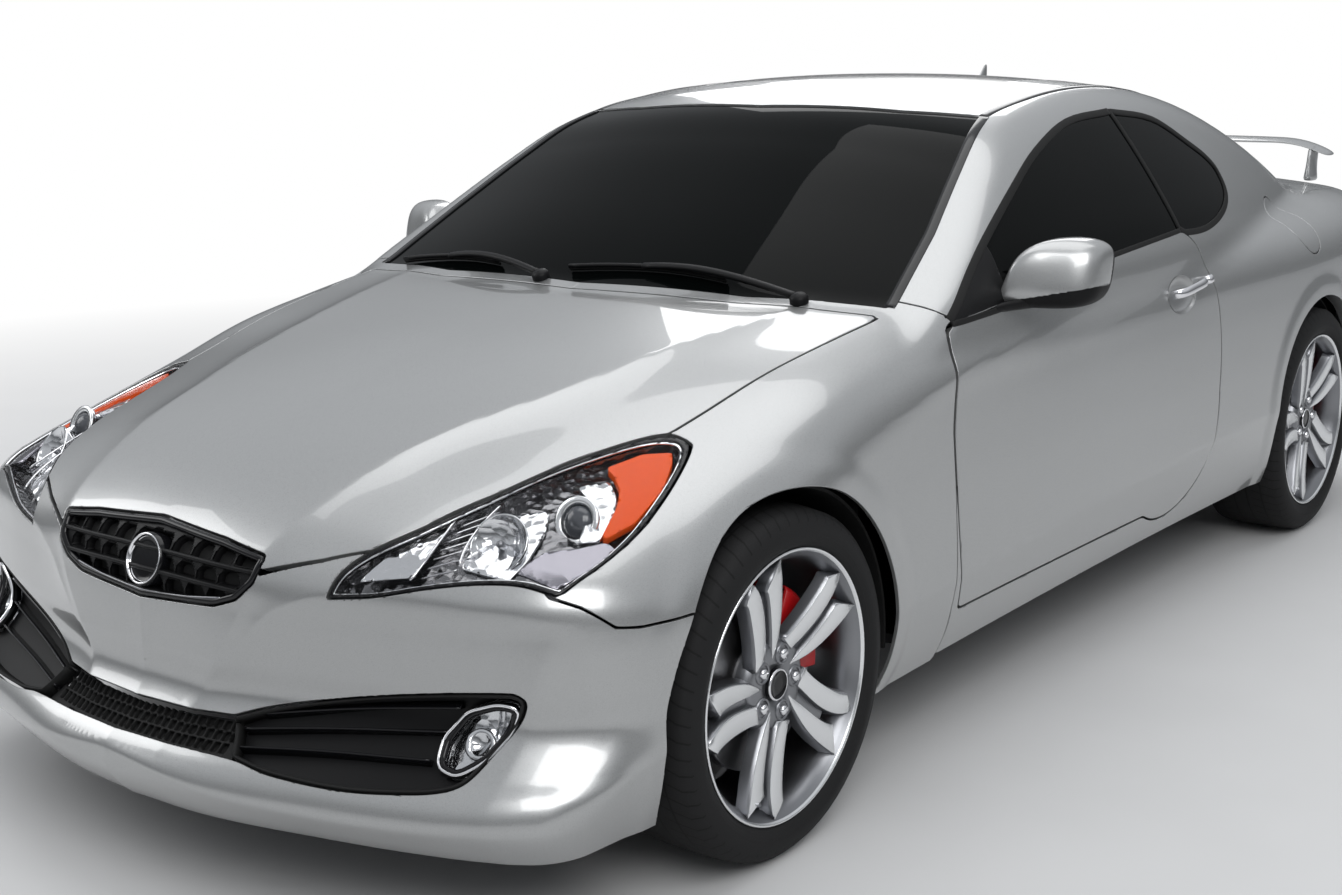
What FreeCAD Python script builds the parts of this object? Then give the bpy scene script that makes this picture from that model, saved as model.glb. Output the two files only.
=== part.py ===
import FreeCAD, Part
import math
import os

os.makedirs("parts", exist_ok=True)
V = FreeCAD.Vector

# Overall sizes in mm, origin on the ground under the middle, front towards -Y, left side +X
LENGTH = 4630.0
HEIGHT = 1385.0
WHEELBASE = 2820.0
FRONT_AXLE_Y = -1485.0
REAR_AXLE_Y = FRONT_AXLE_Y + WHEELBASE
SILL_BOTTOM_Z = 213.0
SHUT_GAP = 5.0
PART_GAP = 0.4

# Wheels and tyres
FRONT_TYRE_R = 331.0
FRONT_TYRE_W = 225.0
FRONT_WHEEL_X = 796.0
REAR_TYRE_R = 339.0
REAR_TYRE_W = 245.0
REAR_WHEEL_X = 799.0
RIM_LIP_R = 258.0
RIM_SEAT_R = 241.0
SPOKE_PAIRS = 5
BOLT_CIRCLE_R = 57.15
BOLT_BORE_R = 6.25
HUB_BORE_R = 33.5
DISC_R = 170.0
DISC_T = 28.0
KINGPIN_INSET = 60.0
FRONT_ARCH_R = 369.0
REAR_ARCH_R = 377.0

# Wall thicknesses
PANEL_T = 9.0
BUMPER_T = 14.0
HOOD_T = 22.0
ROOF_T = 26.0
LID_T = 26.0
SIDE_T = 62.0
LEDGE_W = 32.0
DOOR_SKIN_T = 25.0
DOOR_T = 82.0
GLASS_T = 5.0
GLASS_DROP = 3.0

# Door hinge axis, two points on the left side
HINGE_Y = -818.0
HINGE_LOW = (888.0, 320.0)
HINGE_HIGH = (860.0, 905.0)

# Centre line of bonnet, waist and deck: y, z
DECK_LINE = [(-2400, 480), (-2300, 560), (-2205, 632), (-2156, 665), (-2080, 705), (-1950, 757),
             (-1750, 815), (-1485, 872), (-1250, 908), (-1050, 935), (-900, 950), (-500, 960),
             (0, 965), (500, 975), (1000, 985), (1500, 1005), (1750, 1020), (1950, 1022),
             (2150, 1010), (2230, 990), (2320, 930), (2400, 850)]
# Fall of the bonnet and deck at x 750: y, drop
DECK_FALL = [(-2400, 125), (-2156, 120), (-1950, 105), (-1636, 93), (-1485, 78), (-1290, 48),
             (-1082, 34), (-881, 20), (0, 20), (1200, 30), (1700, 40), (2400, 60)]
# Widest half width of the body: y, x
WAIST = [(-2400, 830), (-2300, 850), (-2000, 895), (-1850, 908), (-1485, 922), (-1100, 910),
         (-800, 905), (-300, 902), (200, 904), (600, 912), (1000, 924), (1335, 932),
         (1700, 925), (2000, 900), (2200, 860), (2400, 790)]
# Inward lean of the side: z, inset
SIDE_LEAN = [(120, 95), (150, 75), (205, 45), (260, 22), (320, 8), (400, 0), (550, 0), (650, 5),
             (750, 12), (850, 24), (920, 42), (970, 62), (1020, 95), (1100, 170)]
# Centre line of windscreen, roof and rear window: y, z
ROOF_LINE = [(-1200, 820), (-1010, 935), (-850, 1030), (-650, 1140), (-450, 1245), (-310, 1310),
             (-200, 1340), (0, 1368), (200, 1383), (300, 1385), (450, 1382), (700, 1362),
             (950, 1322), (1200, 1262), (1450, 1185), (1700, 1095), (1850, 1040), (1950, 1000),
             (2100, 930)]
# Crown of the roof at x 600: y, drop
ROOF_CROWN = [(-1010, 45), (-600, 50), (-200, 44), (200, 38), (800, 40), (1300, 50), (1800, 60)]
# Half width of the side windows: z, x
CABIN_SIDE = [(0, 300), (400, 600), (700, 800), (800, 848), (870, 868), (930, 864), (1000, 836), (1100, 785),
              (1200, 727), (1300, 662), (1400, 590), (1500, 510)]
# Narrowing of the cabin along the car: y, inset
CABIN_TAPER = [(-1300, 60), (-1000, 20), (-500, 5), (0, 0), (400, 5), (800, 30), (1200, 80),
               (1600, 150), (2000, 240), (2300, 320)]
# Front end on the centre plane: z, y
NOSE = [(100, -2150), (150, -2235), (200, -2290), (250, -2314), (290, -2300), (320, -2265),
        (380, -2215), (450, -2214), (535, -2212), (604, -2203), (665, -2160), (720, -2080),
        (780, -1960), (850, -1700), (1000, -1300), (1500, -800)]
# Sweep of the front end: x, setback
NOSE_SWEEP = [(0, 0), (200, 15), (408, 64), (600, 120), (700, 158), (800, 215), (850, 262),
              (880, 305), (905, 360), (930, 450), (960, 620), (1100, 1500)]
# Rear end on the centre plane: z, y
TAIL = [(100, 2080), (120, 2120), (200, 2200), (260, 2270), (350, 2300), (500, 2315), (650, 2312),
        (750, 2295), (850, 2270), (950, 2245), (1000, 2225), (1050, 2195), (1150, 2100),
        (1500, 1700)]
# Sweep of the rear end: x, setback
TAIL_SWEEP = [(0, 0), (300, 12), (500, 40), (650, 85), (750, 145), (820, 215), (870, 310),
              (900, 400), (925, 560), (960, 800), (1100, 1600)]


class Line:
    """Smooth line through the rows of a table."""

    def __init__(self, rows):
        self.x = [float(r[0]) for r in rows]
        self.y = [float(r[1]) for r in rows]
        n = len(self.x)
        h = [self.x[i + 1] - self.x[i] for i in range(n - 1)]
        d = [(self.y[i + 1] - self.y[i]) / h[i] for i in range(n - 1)]
        self.m = [d[0]]
        for i in range(1, n - 1):
            self.m.append((d[i - 1] * h[i] + d[i] * h[i - 1]) / (h[i - 1] + h[i]))
        self.m.append(d[-1])

    def __call__(self, x):
        xs = self.x
        if x <= xs[0]:
            return self.y[0] + (x - xs[0]) * self.m[0]
        if x >= xs[-1]:
            return self.y[-1] + (x - xs[-1]) * self.m[-1]
        i = 0
        while xs[i + 1] < x:
            i += 1
        h = xs[i + 1] - xs[i]
        t = (x - xs[i]) / h
        a = self.y[i] * (2 * t ** 3 - 3 * t ** 2 + 1)
        a += h * self.m[i] * (t ** 3 - 2 * t ** 2 + t)
        a += self.y[i + 1] * (-2 * t ** 3 + 3 * t ** 2)
        return a + h * self.m[i + 1] * (t ** 3 - t ** 2)


deck_line = Line(DECK_LINE)
deck_fall = Line(DECK_FALL)
waist = Line(WAIST)
side_lean = Line(SIDE_LEAN)
roof_line = Line(ROOF_LINE)
roof_crown = Line(ROOF_CROWN)
cabin_side = Line(CABIN_SIDE)
cabin_taper = Line(CABIN_TAPER)
nose = Line(NOSE)
nose_sweep = Line(NOSE_SWEEP)
tail = Line(TAIL)
tail_sweep = Line(TAIL_SWEEP)


def round_max(a, b, k):
    return max(a, b) + max(k - abs(a - b), 0.0) ** 2 / (4 * k)


def round_min(a, b, k):
    return min(a, b) - max(k - abs(a - b), 0.0) ** 2 / (4 * k)


def section_at(y):
    """Values that stay the same along one cross section."""
    return (deck_line(y), deck_fall(y), waist(y), roof_line(y), roof_crown(y), cabin_taper(y))


def depth(sec, x, z):
    """Signed distance outside the body at a point of a cross section."""
    top = z - (sec[0] - sec[1] * (x / 750.0) ** 2.2)
    side = x - (sec[2] - side_lean(z))
    low = round_max(top, side, 150.0)
    roof = z - (sec[3] - sec[4] * (x / 600.0) ** 2.2)
    glass = x - (cabin_side(z) - sec[5])
    cabin = round_max(roof * 0.9, glass * 0.9, 60.0)
    return round_min(low, cabin, 24.0)


CORE_Z = 410.0
SECTION_Y = [-2380, -2250, -2120, -1980, -1840, -1700, -1560, -1420, -1280, -1150, -1060, -980,
             -900, -800, -680, -550, -420, -300, -180, -40, 120, 300, 480, 660, 840, 1020, 1200,
             1380, 1540, 1680, 1780, 1880, 1980, 2080, 2180, 2280, 2390]
SECTION_ANGLE = [-16, -12, -8, -4, 0, 4, 9, 14, 19, 23, 26, 29, 31, 33, 36, 40, 44, 48, 52, 55,
                 58, 62, 68, 75, 82, 90]


def skin_point(sec, y, angle, inset):
    c = math.cos(math.radians(angle))
    s = math.sin(math.radians(angle))
    lo = 30.0
    hi = 1500.0
    for _ in range(22):
        r = (lo + hi) / 2
        if depth(sec, abs(r * c), CORE_Z + r * s) > -inset:
            hi = r
        else:
            lo = r
    return V(lo * c, y, CORE_Z + lo * s)


def smooth_skin(grid):
    """Cubic surface that passes close to every point of the grid."""
    def soften(row):
        out = [row[0]]
        for i in range(1, len(row) - 1):
            out.append(row[i] - (row[i - 1] - row[i] * 2 + row[i + 1]) * (1 / 6.0))
        return out + [row[-1]]
    rows = [soften(r) for r in grid]
    cols = [soften(list(c)) for c in zip(*rows)]
    poles = [list(r) for r in zip(*cols)]
    nu = len(poles)
    nv = len(poles[0])
    surface = Part.BSplineSurface()
    surface.buildFromPolesMultsKnots(poles, [4] + [1] * (nu - 4) + [4], [4] + [1] * (nv - 4) + [4],
                                     list(range(nu - 2)), list(range(nv - 2)), False, False, 3, 3)
    return surface.toShape()


def skin_solid(inset):
    """Body without its ends, as far inside the skin as the inset."""
    grid = []
    for y in SECTION_Y:
        sec = section_at(y)
        half = [skin_point(sec, y, a, inset) for a in SECTION_ANGLE]
        left = [V(-p.x, p.y, p.z) for p in half[:-1]]
        half[-1] = V(0, half[-1].y, half[-1].z)
        grid.append(half + left[::-1])
    skin = smooth_skin(grid)
    ends = []
    low = []
    for e in skin.Edges:
        if all(abs(v.Point.y - SECTION_Y[0]) < 1 for v in e.Vertexes):
            ends.append((e, grid[0]))
        elif all(abs(v.Point.y - SECTION_Y[-1]) < 1 for v in e.Vertexes):
            ends.append((e, grid[-1]))
        else:
            low.append(e)
    faces = [skin, Part.makeRuledSurface(low[0], low[1])]
    for edge, row in ends:
        faces.append(Part.Face(Part.Wire([edge, Part.makeLine(row[0], row[-1])])))
    sewn = Part.makeCompound(faces)
    sewn.sewShape()
    solid = Part.Solid(sewn.Shells[0])
    if solid.Volume < 0:
        solid.reverse()
    return solid


def end_prism(line, sweep, sign, inset):
    """Everything behind the front face, or ahead of the rear face."""
    xs = [-1000, -950, -915, -880, -840, -780, -700, -600, -450, -300, -150, 0]
    xs = xs + [-x for x in xs[:-1]][::-1]
    zs = [100, 150, 200, 250, 290, 330, 380, 450, 530, 600, 660, 720, 790, 870, 960, 1100, 1300, 1500]
    grid = []
    for x in xs:
        row = []
        for z in zs:
            row.append(V(x, line(z) - sign * (inset / 0.9 - 0.0) - sign * sweep(abs(x)), z))
        grid.append(row)
    return smooth_skin(grid).extrude(V(0, -sign * 6000, 0))


_hulls = {}


def hull(inset):
    """Whole outer form, moved inward by the inset."""
    if inset not in _hulls:
        body = skin_solid(inset)
        body = body.common(end_prism(nose, nose_sweep, -1, inset))
        body = body.common(end_prism(tail, tail_sweep, 1, inset))
        _hulls[inset] = body.Solids[0]
    return _hulls[inset]


def outline(plane, rows):
    """Closed wire from rows of 2 numbers (line to) or 4 numbers (arc through, to)."""
    def point(a, b):
        if plane == "yz":
            return V(0, a, b)
        if plane == "xy":
            return V(a, b, 0)
        return V(a, 0, b)
    edges = []
    here = point(rows[0][0], rows[0][1])
    start = here
    for row in rows[1:]:
        there = point(row[-2], row[-1])
        if len(row) == 4:
            edges.append(Part.Arc(here, point(row[0], row[1]), there).toShape())
        else:
            edges.append(Part.makeLine(here, there))
        here = there
    if here.distanceToPoint(start) > 0.01:
        edges.append(Part.makeLine(here, start))
    return Part.Wire(edges)


def prism(plane, rows, low, high, grow=0.0):
    """Outline pushed through the car between two places."""
    wire = outline(plane, rows)
    if grow:
        wire = wire.makeOffset2D(grow)
    face = Part.Face(wire)
    axis = {"yz": V(1, 0, 0), "xy": V(0, 0, 1), "xz": V(0, 1, 0)}[plane]
    face.translate(axis * low)
    return face.extrude(axis * (high - low))


def box(x0, x1, y0, y1, z0, z1):
    return Part.makeBox(x1 - x0, y1 - y0, z1 - z0, V(x0, y0, z0))


def tube(axis, base, length, r_out, r_in=0.0):
    body = Part.makeCylinder(r_out, length, base, axis)
    if r_in:
        body = body.cut(Part.makeCylinder(r_in, length, base, axis))
    return body


def mirror(shape):
    return shape.mirror(V(0, 0, 0), V(1, 0, 0))


def join(shapes):
    body = shapes[0]
    for s in shapes[1:]:
        body = body.fuse(s)
    return body.removeSplitter()


def cut_all(body, tools):
    for t in tools:
        body = body.cut(t)
    return body


def keep_big(shape, least=2000.0):
    return [s for s in shape.Solids if s.Volume > least]


def save(name, solids):
    if not isinstance(solids, list):
        solids = solids.Solids
    shape = solids[0] if len(solids) == 1 else Part.makeCompound(solids)
    shape.exportStep("parts/" + name + ".step")
    print(name, len(solids), [s.isValid() for s in solids].count(False), round(shape.Volume / 1e6, 2))


def shell(region, outer, inner):
    return region.common(hull(outer)).cut(hull(inner))


# Outlines on the side, left, in y and z
DOOR = [(-843, 900), (-871, 700), (-866, 560, -842, 312), (130, 298), (480, 365, 553, 560), (564, 690, 512, 885),
        (470, 950, 408, 983), (187, 975), (-28, 966)]
DOOR_GLASS = [(-827, 914), (-711, 984), (-578, 1055), (-385, 1143), (-188, 1217), (57, 1275), (320, 1290),
              (400, 989), (187, 980), (-28, 971)]
QUARTER_GLASS = [(405, 992), (326, 1290), (576, 1261), (740, 1196), (880, 1122), (884, 1056), (791, 1009),
                 (615, 979), (445, 979)]
FENDER = [(-880, 200), (-876, 560, -881, 700), (-853, 900), (-816, 912), (-877, 960), (-1000, 1000),
          (-2100, 900), (-2100, 640), (-1961, 597), (-1893, 555), (-1820, 548), (-1820, 200)]
FUEL_Y = 1285.0
FUEL_Z = 925.0
FUEL_R = 78.0
# Outlines from above, in x and y
HOOD = [(0, -2190), (283, -2170), (385, -2120), (487, -2060), (577, -1830), (661, -1650), (684, -1540),
        (702, -1364), (721, -1167), (739, -976), (741, -930), (434, -995), (0, -1022)]
WINDSCREEN = [(0, -985), (434, -956), (738, -885), (700, -660), (592, -215), (400, -262), (0, -292)]
ROOF = [(0, -282), (400, -252), (586, -205), (575, 200), (560, 600), (520, 960), (300, 985), (0, 995)]
SUNROOF = [(0, 60), (420, 70), (430, 90), (430, 720), (415, 740), (0, 745)]
REAR_WINDOW = [(0, 1005), (300, 995), (525, 970), (600, 1300), (645, 1690), (400, 1741), (0, 1752)]
TRUNK_TOP = [(0, 1764), (400, 1754), (665, 1728), (700, 1800), (700, 2100), (640, 2400), (0, 2400)]
# Outlines from the front, in x and z
GRILLE = [(0, 662), (180, 650), (283, 636), (275, 592), (240, 560), (190, 543), (0, 530)]
LOWER_OPENING = [(0, 352), (234, 356), (297, 376), (397, 399), (550, 429), (729, 450), (752, 438), (746, 410),
                 (716, 356), (695, 315), (670, 302), (608, 293), (494, 286), (364, 291), (286, 302), (150, 306),
                 (0, 306)]
INTAKE = [(0, 351), (232, 355), (268, 304), (150, 307), (0, 307)]
BEZEL = [(238, 355), (297, 374), (397, 397), (550, 427), (728, 448), (749, 437), (743, 410), (714, 357), (693, 316),
         (669, 304), (608, 295), (494, 288), (364, 293), (290, 303), (274, 306)]
FOG = [(632, 332), (622, 367), (655, 407), (706, 425), (738, 420), (724, 381), (700, 342), (670, 322)]
LAMP = [(420, 583), (431, 622), (460, 655), (510, 687), (560, 725), (600, 758), (665, 785), (720, 782),
        (760, 752), (800, 690), (806, 650), (786, 612), (730, 626), (662, 626), (584, 614), (500, 594)]


def both(rows):
    """Full outline from the rows of its left half."""
    right = [(-r[0], r[1]) for r in rows if r[0] > 0]
    return rows + right[::-1]


def hinge_sweep(extra):
    """Room that the door's front edge turns through."""
    sections = []
    rows = [(200, 70), (320, 40), (420, 52), (560, 66), (700, 68), (800, 48), (900, 36), (960, 34)]
    lean = (HINGE_HIGH[0] - HINGE_LOW[0]) / (HINGE_HIGH[1] - HINGE_LOW[1])
    points = [V(0, 0, rows[0][0])]
    for z, r in rows:
        points.append(V(r + extra, 0, z))
    points.append(V(0, 0, rows[-1][0]))
    face = Part.Face(Part.makePolygon(points + [points[0]]))
    body = face.revolve(V(0, 0, 0), V(0, 0, 1), 360)
    angle = math.degrees(math.atan(lean))
    body.rotate(V(0, 0, HINGE_LOW[1]), V(0, 1, 0), angle)
    body.translate(V(HINGE_LOW[0], HINGE_Y, 0))
    return body


def arch_cut(y, z, radius, x0=520.0, x1=1000.0):
    return tube(V(1, 0, 0), V(x0, y, z), x1 - x0, radius)


SIDE_X = (300.0, 1100.0)
HALF = box(0, 1200, -3000, 3000, 0, 1600)
hood_zone = prism("xy", both(HOOD), 560, 1100)
hood_hole = prism("xy", both(HOOD), 560, 1100, SHUT_GAP)
windscreen_hole = prism("xy", both(WINDSCREEN), 880, 1400, SHUT_GAP)
roof_hole = prism("xy", both(ROOF), 1150, 1450, SHUT_GAP)
rear_window_hole = prism("xy", both(REAR_WINDOW), 960, 1400, SHUT_GAP)
trunk_zone = prism("xy", both(TRUNK_TOP), 770, 1100)
trunk_hole = prism("xy", both(TRUNK_TOP), 770 - SHUT_GAP, 1100, SHUT_GAP)
lamp_zone = prism("xz", LAMP, -2400, -1560)
lamp_hole = prism("xz", LAMP, -2400, -1560, 3.0)
front_arch = arch_cut(FRONT_AXLE_Y, FRONT_TYRE_R, FRONT_ARCH_R)
rear_arch = arch_cut(REAR_AXLE_Y, REAR_TYRE_R, REAR_ARCH_R)
# Rear lamp, seen from behind, in x and z, and the bumper line on the side
TAIL_LAMP = [(705, 800), (705, 930), (780, 960), (930, 945), (930, 850), (860, 805)]
tail_lamp_zone = prism("xz", TAIL_LAMP, 1990, 2400)
tail_lamp_hole = prism("xz", TAIL_LAMP, 1985, 2400, 3.0)
PLATE_RECESS = [(0, 716), (262, 716), (262, 552), (0, 552)]
PLATE_DEPTH = 8.0
REAR_BUMPER_SIDE = [(2400, 760), (2160, 755), (1720, 600), (1700, 560), (1640, 200), (2400, 150)]


def make_fenders():
    region = prism("yz", FENDER, 560, 1100)
    body = shell(region, 0.0, PANEL_T)
    body = cut_all(body, [hood_hole, lamp_hole, front_arch, hinge_sweep(SHUT_GAP), windscreen_hole])
    body = keep_big(body)
    return body


def make_front_bumper():
    """Bumper cover with the grille, intake and lamp places cut through."""
    region = box(-1000, 1000, -2400, -1600, 170, 760)
    body = shell(region, 0.0, BUMPER_T)
    fender = prism("yz", FENDER, -1100, 1100, SHUT_GAP * 0.8)
    tools = [fender, hood_hole, lamp_hole, mirror(lamp_hole)]
    tools.append(prism("xz", both(GRILLE), -2400, -1900, 2.0))
    tools.append(prism("xz", both(LOWER_OPENING), -2400, -1900))
    tools += [front_arch, mirror(front_arch)]
    body = cut_all(body, tools)
    brackets = [box(x, x + 60, -2400, -2080.3, 435, 495).common(hull(BUMPER_T - 1.0)) for x in (-480, 420)]
    return keep_big(join([body] + brackets), 20000)


def make_upper_grille():
    body = shell(prism("xz", both(GRILLE), -2400, -1900), 12.0, 28.0)
    holes = []
    for z0 in (553, 584, 614):
        for i in range(-7, 8):
            width = 250 if z0 > 560 else 205
            if abs(i * 34) + 13 < width:
                holes.append(box(i * 34 - 13, i * 34 + 13, -2400, -1900, z0, z0 + 18))
    body = body.cut(Part.makeCompound(holes))
    badge = Part.makeCylinder(48, 44, V(0, -2226, 604), V(0, 1, 0))
    return join([body, badge]).Solids


def make_intake_grilles():
    """Dark centre grille and the two side bezels with their fins."""
    middle = shell(prism("xz", both(INTAKE), -2400, -1900, -0.5), 16.0, 34.0)
    bezel = shell(prism("xz", BEZEL, -2400, -1900, -0.5), 16.0, 34.0)
    bezel = bezel.cut(prism("xz", FOG, -2400, -1900, 2.0))
    return middle.Solids + bezel.Solids + mirror(bezel).Solids


def make_fog_lamps():
    body = shell(prism("xz", FOG, -2400, -1900), 8.0, 50.0)
    return body.Solids + mirror(body).Solids


def make_headlamps():
    body = keep_big(shell(lamp_zone, 1.0, 45.0))[0]
    return [body, mirror(body)]


def make_hood():
    body = shell(hood_zone, 0.0, HOOD_T)
    body = cut_all(body, [lamp_hole, mirror(lamp_hole)])
    body = body.cut(prism("xz", both(GRILLE), -2400, -1900, 4.0))
    return keep_big(body, 20000)


def make_cowl():
    rows = [(0, -1016), (434, -989), (736, -924), (736, -891), (434, -962), (0, -991)]
    body = shell(prism("xy", both(rows), 800, 1000), 16.0, 30.0)
    legs = [box(x - 20, x + 20, -953, -937, 860.3, 1000).common(hull(20.0)) for x in (-570, 570)]
    return keep_big(join([body] + legs))


def make_windscreen():
    return keep_big(shell(prism("xy", both(WINDSCREEN), 880, 1400), GLASS_DROP, GLASS_DROP + GLASS_T + 1))


def make_rear_window():
    return keep_big(shell(prism("xy", both(REAR_WINDOW), 960, 1400), GLASS_DROP, PANEL_T))


def make_roof():
    skin = shell(prism("xy", both(ROOF), 1150, 1450), 0.0, PANEL_T)
    lining = shell(prism("xy", both(ROOF), 1150, 1450, -LEDGE_W - 1.0), PANEL_T - 0.5, ROOF_T)
    body = skin.fuse(lining)
    body = body.cut(prism("xy", both(SUNROOF), 1150, 1450, 1.0).cut(hull(PANEL_T + 0.3)))
    return keep_big(body.cut(prism("xy", both(SUNROOF), 1150, 1450, -25.0)))


def make_sunroof():
    return keep_big(shell(prism("xy", both(SUNROOF), 1150, 1450), GLASS_DROP, PANEL_T))


def make_door():
    region = prism("yz", DOOR, 400, 1100)
    skin = shell(region, 0.0, DOOR_SKIN_T)
    inner = shell(prism("yz", DOOR, 400, 1100, -24.0), DOOR_SKIN_T - 0.5, DOOR_T)
    inner = inner.cut(box(400, 1100, -900, HINGE_Y + 6, 0, 1300))
    return join([skin, inner]).Solids


def make_door_glass():
    region = prism("yz", DOOR_GLASS, 400, 1100)
    pane = shell(region, GLASS_DROP, GLASS_DROP + GLASS_T)
    low = prism("yz", DOOR_GLASS, 400, 1100, 6.0).common(box(400, 1100, -500, 380, 900, 1000))
    low = shell(low.cut(prism("yz", DOOR, 400, 1100, 0.3)), GLASS_DROP, GLASS_DROP + GLASS_T)
    return keep_big(join([pane, low]))


def make_quarter_glass():
    region = prism("yz", QUARTER_GLASS, 400, 1100, -0.5)
    body = keep_big(shell(region, GLASS_DROP, PANEL_T))[0]
    return [body, mirror(body)]


def make_body_side():
    """Sill, hinge post, pillars, roof rail and quarter panel of the left side."""
    rows = [(-878, SILL_BOTTOM_Z), (1760, SILL_BOTTOM_Z), (2170, 700), (2230, 765), (2400, 765), (2400, 1100),
            (1500, 1450), (-300, 1450), (-905, 950), (-816, 907), (-870, 700)]
    region = prism("yz", rows, 380, 1100)
    outer = shell(region, 0.0, PANEL_T + 0.3)
    outer = cut_all(outer, [windscreen_hole, roof_hole, rear_window_hole, prism("yz", QUARTER_GLASS, 380, 1100, 0.0)])
    inner = shell(region, PANEL_T + 0.2, SIDE_T)
    inner = cut_all(inner, [prism("xy", both(rows), 880, 1450, -LEDGE_W) for rows in (WINDSCREEN, ROOF, REAR_WINDOW)])
    inner = inner.cut(prism("yz", QUARTER_GLASS, 380, 1100, -14.0))
    body = outer.fuse(inner)
    tools = [prism("yz", DOOR, 380, 1100, SHUT_GAP), prism("yz", DOOR_GLASS, 380, 1100, 3.0)]
    tools += [hood_hole, trunk_hole, tail_lamp_hole, hinge_sweep(SHUT_GAP)]
    tools += [prism("yz", REAR_BUMPER_SIDE, 300, 1100, SHUT_GAP * 0.8), rear_arch]
    tools.append(prism("yz", FENDER, 380, 1100, 3.0))
    return keep_big(cut_all(body, tools), 100000)


def cut_flap_pocket(solids):
    pocket = tube(V(1, 0, 0), V(500, FUEL_Y, FUEL_Z), 600, FUEL_R + 3)
    pocket = pocket.common(hull(0.0)).cut(hull(45.0))
    return [s.cut(pocket).Solids[0] for s in solids]


def make_fuel_flap():
    body = shell(tube(V(1, 0, 0), V(500, FUEL_Y, FUEL_Z), 600, FUEL_R), 0.0, 10.0)
    return body.Solids


def make_trunk_lid():
    body = shell(trunk_zone, 0.0, LID_T)
    body = cut_all(body, [tail_lamp_hole, mirror(tail_lamp_hole)])
    return keep_big(body, 20000)


def make_tail_lamps():
    lens = shell(tail_lamp_zone, 1.0, 50.0)
    flange = shell(prism("xz", TAIL_LAMP, 1990, 2400, 2.7), 14.0, 50.0)
    flange = flange.cut(prism("yz", REAR_BUMPER_SIDE, -1100, 1100, 0.4))
    body = keep_big(join([lens, flange]).cut(trunk_hole))[0]
    return [body, mirror(body)]


def make_rear_bumper():
    region = prism("yz", REAR_BUMPER_SIDE, -1100, 1100)
    body = shell(region, 0.0, BUMPER_T).cut(box(-1000, 1000, 1500, 2400, 100, 190))
    tools = [rear_arch, mirror(rear_arch)]
    tools += [tube(V(0, 1, 0), V(x, 1900, 290), 500, 54) for x in (-560, 560)]
    body = cut_all(body, tools)
    plate = prism("xz", both(PLATE_RECESS), 2150, 2400).cut(hull(PLATE_DEPTH))
    body = body.cut(plate)
    brackets = [box(x - 30, x + 30, 2160.3, 2400, 520, 600).common(hull(BUMPER_T - 1.0)) for x in (-560, 560)]
    return keep_big(join([body] + brackets), 20000)


def ring_solid(rings):
    """Solid through flat rings of equal point counts."""
    wires = [Part.makePolygon([V(*p) for p in ring + ring[:1]]) for ring in rings]
    return Part.makeLoft(wires, True, True)


def round_ring(x, y, z, wide, high, power, count=16):
    """Rounded square ring across the X axis."""
    ring = []
    for i in range(count):
        a = 2 * math.pi * i / count
        c = math.cos(a)
        d = math.sin(a)
        u = math.copysign(abs(c) ** (2 / power), c) * wide
        v = math.copysign(abs(d) ** (2 / power), d) * high
        ring.append((x, y + u, z + v))
    return ring


# Wing: distance out from the middle, front edge y, rear edge y, top z, thickness
WING = [(0, 2122, 2302, 1127, 17), (230, 2126, 2300, 1126, 16), (460, 2136, 2291, 1123, 14), (560, 2142, 2282, 1114, 12),
        (610, 2146, 2274, 1095, 11), (638, 2148, 2268, 1074, 10)]


def make_spoiler():
    """Deck wing with turned-down ends on two feet."""
    rings = []
    for x, front, rear, top, t in [(-r[0],) + r[1:] for r in WING[:0:-1]] + WING:
        middle = (front + rear) / 2
        rings.append([(x, front, top - t * 0.5), (x, front + 22, top), (x, middle, top + 4), (x, rear - 26, top + 3),
                      (x, rear, top - 3), (x, rear - 4, top - 9), (x, middle, top - t), (x, front + 26, top - t)])
    blade = ring_solid(rings)
    feet = []
    for s in (-1, 1):
        rows = [(s * 603, 2130, 985), (s * 603, 2214, 985), (s * 594, 2234, 1106), (s * 594, 2148, 1106)]
        face = Part.Face(Part.makePolygon([V(s * 580, b, c) for a, b, c in rows + rows[:1]]))
        face.translate(V(-16, 0, 0))
        feet.append(face.extrude(V(32, 0, 0)).cut(hull(-PART_GAP)))
    body = join([blade] + feet)
    return body.Solids


# Mirror housing: x, y, z of the middle of each ring, half depth, half height
MIRROR = [(846, -500, 975, 34, 36), (860, -500, 975, 48, 50), (888, -498, 977, 60, 64), (925, -496, 979, 67, 71),
          (965, -492, 982, 68, 73), (1000, -486, 984, 64, 70), (1022, -478, 986, 52, 58), (1034, -470, 987, 32, 37)]
MIRROR_FOOT = [(850, -520, 930, 56, 12), (870, -515, 936, 50, 14), (890, -508, 944, 42, 18), (915, -500, 952, 34, 22)]


def make_mirror():
    """Mirror housing with its foot on the door's front corner."""
    body = ring_solid([round_ring(x, y, z, a, b, 2.7) for x, y, z, a, b in MIRROR])
    foot = ring_solid([round_ring(x, y, z, a, b, 2.4) for x, y, z, a, b in MIRROR_FOOT])
    return keep_big(join([body, foot]).cut(hull(-PART_GAP)), 20000)


def make_handle():
    bar = box(880, 960, 275, 490, 828, 846)
    body = bar.common(hull(-34.0)).cut(hull(-22.0))
    ends = [box(880, 960, y, y + 22, 828, 846).common(hull(-30.0)).cut(hull(-PART_GAP)) for y in (275, 468)]
    return join([body] + ends).Solids


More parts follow.
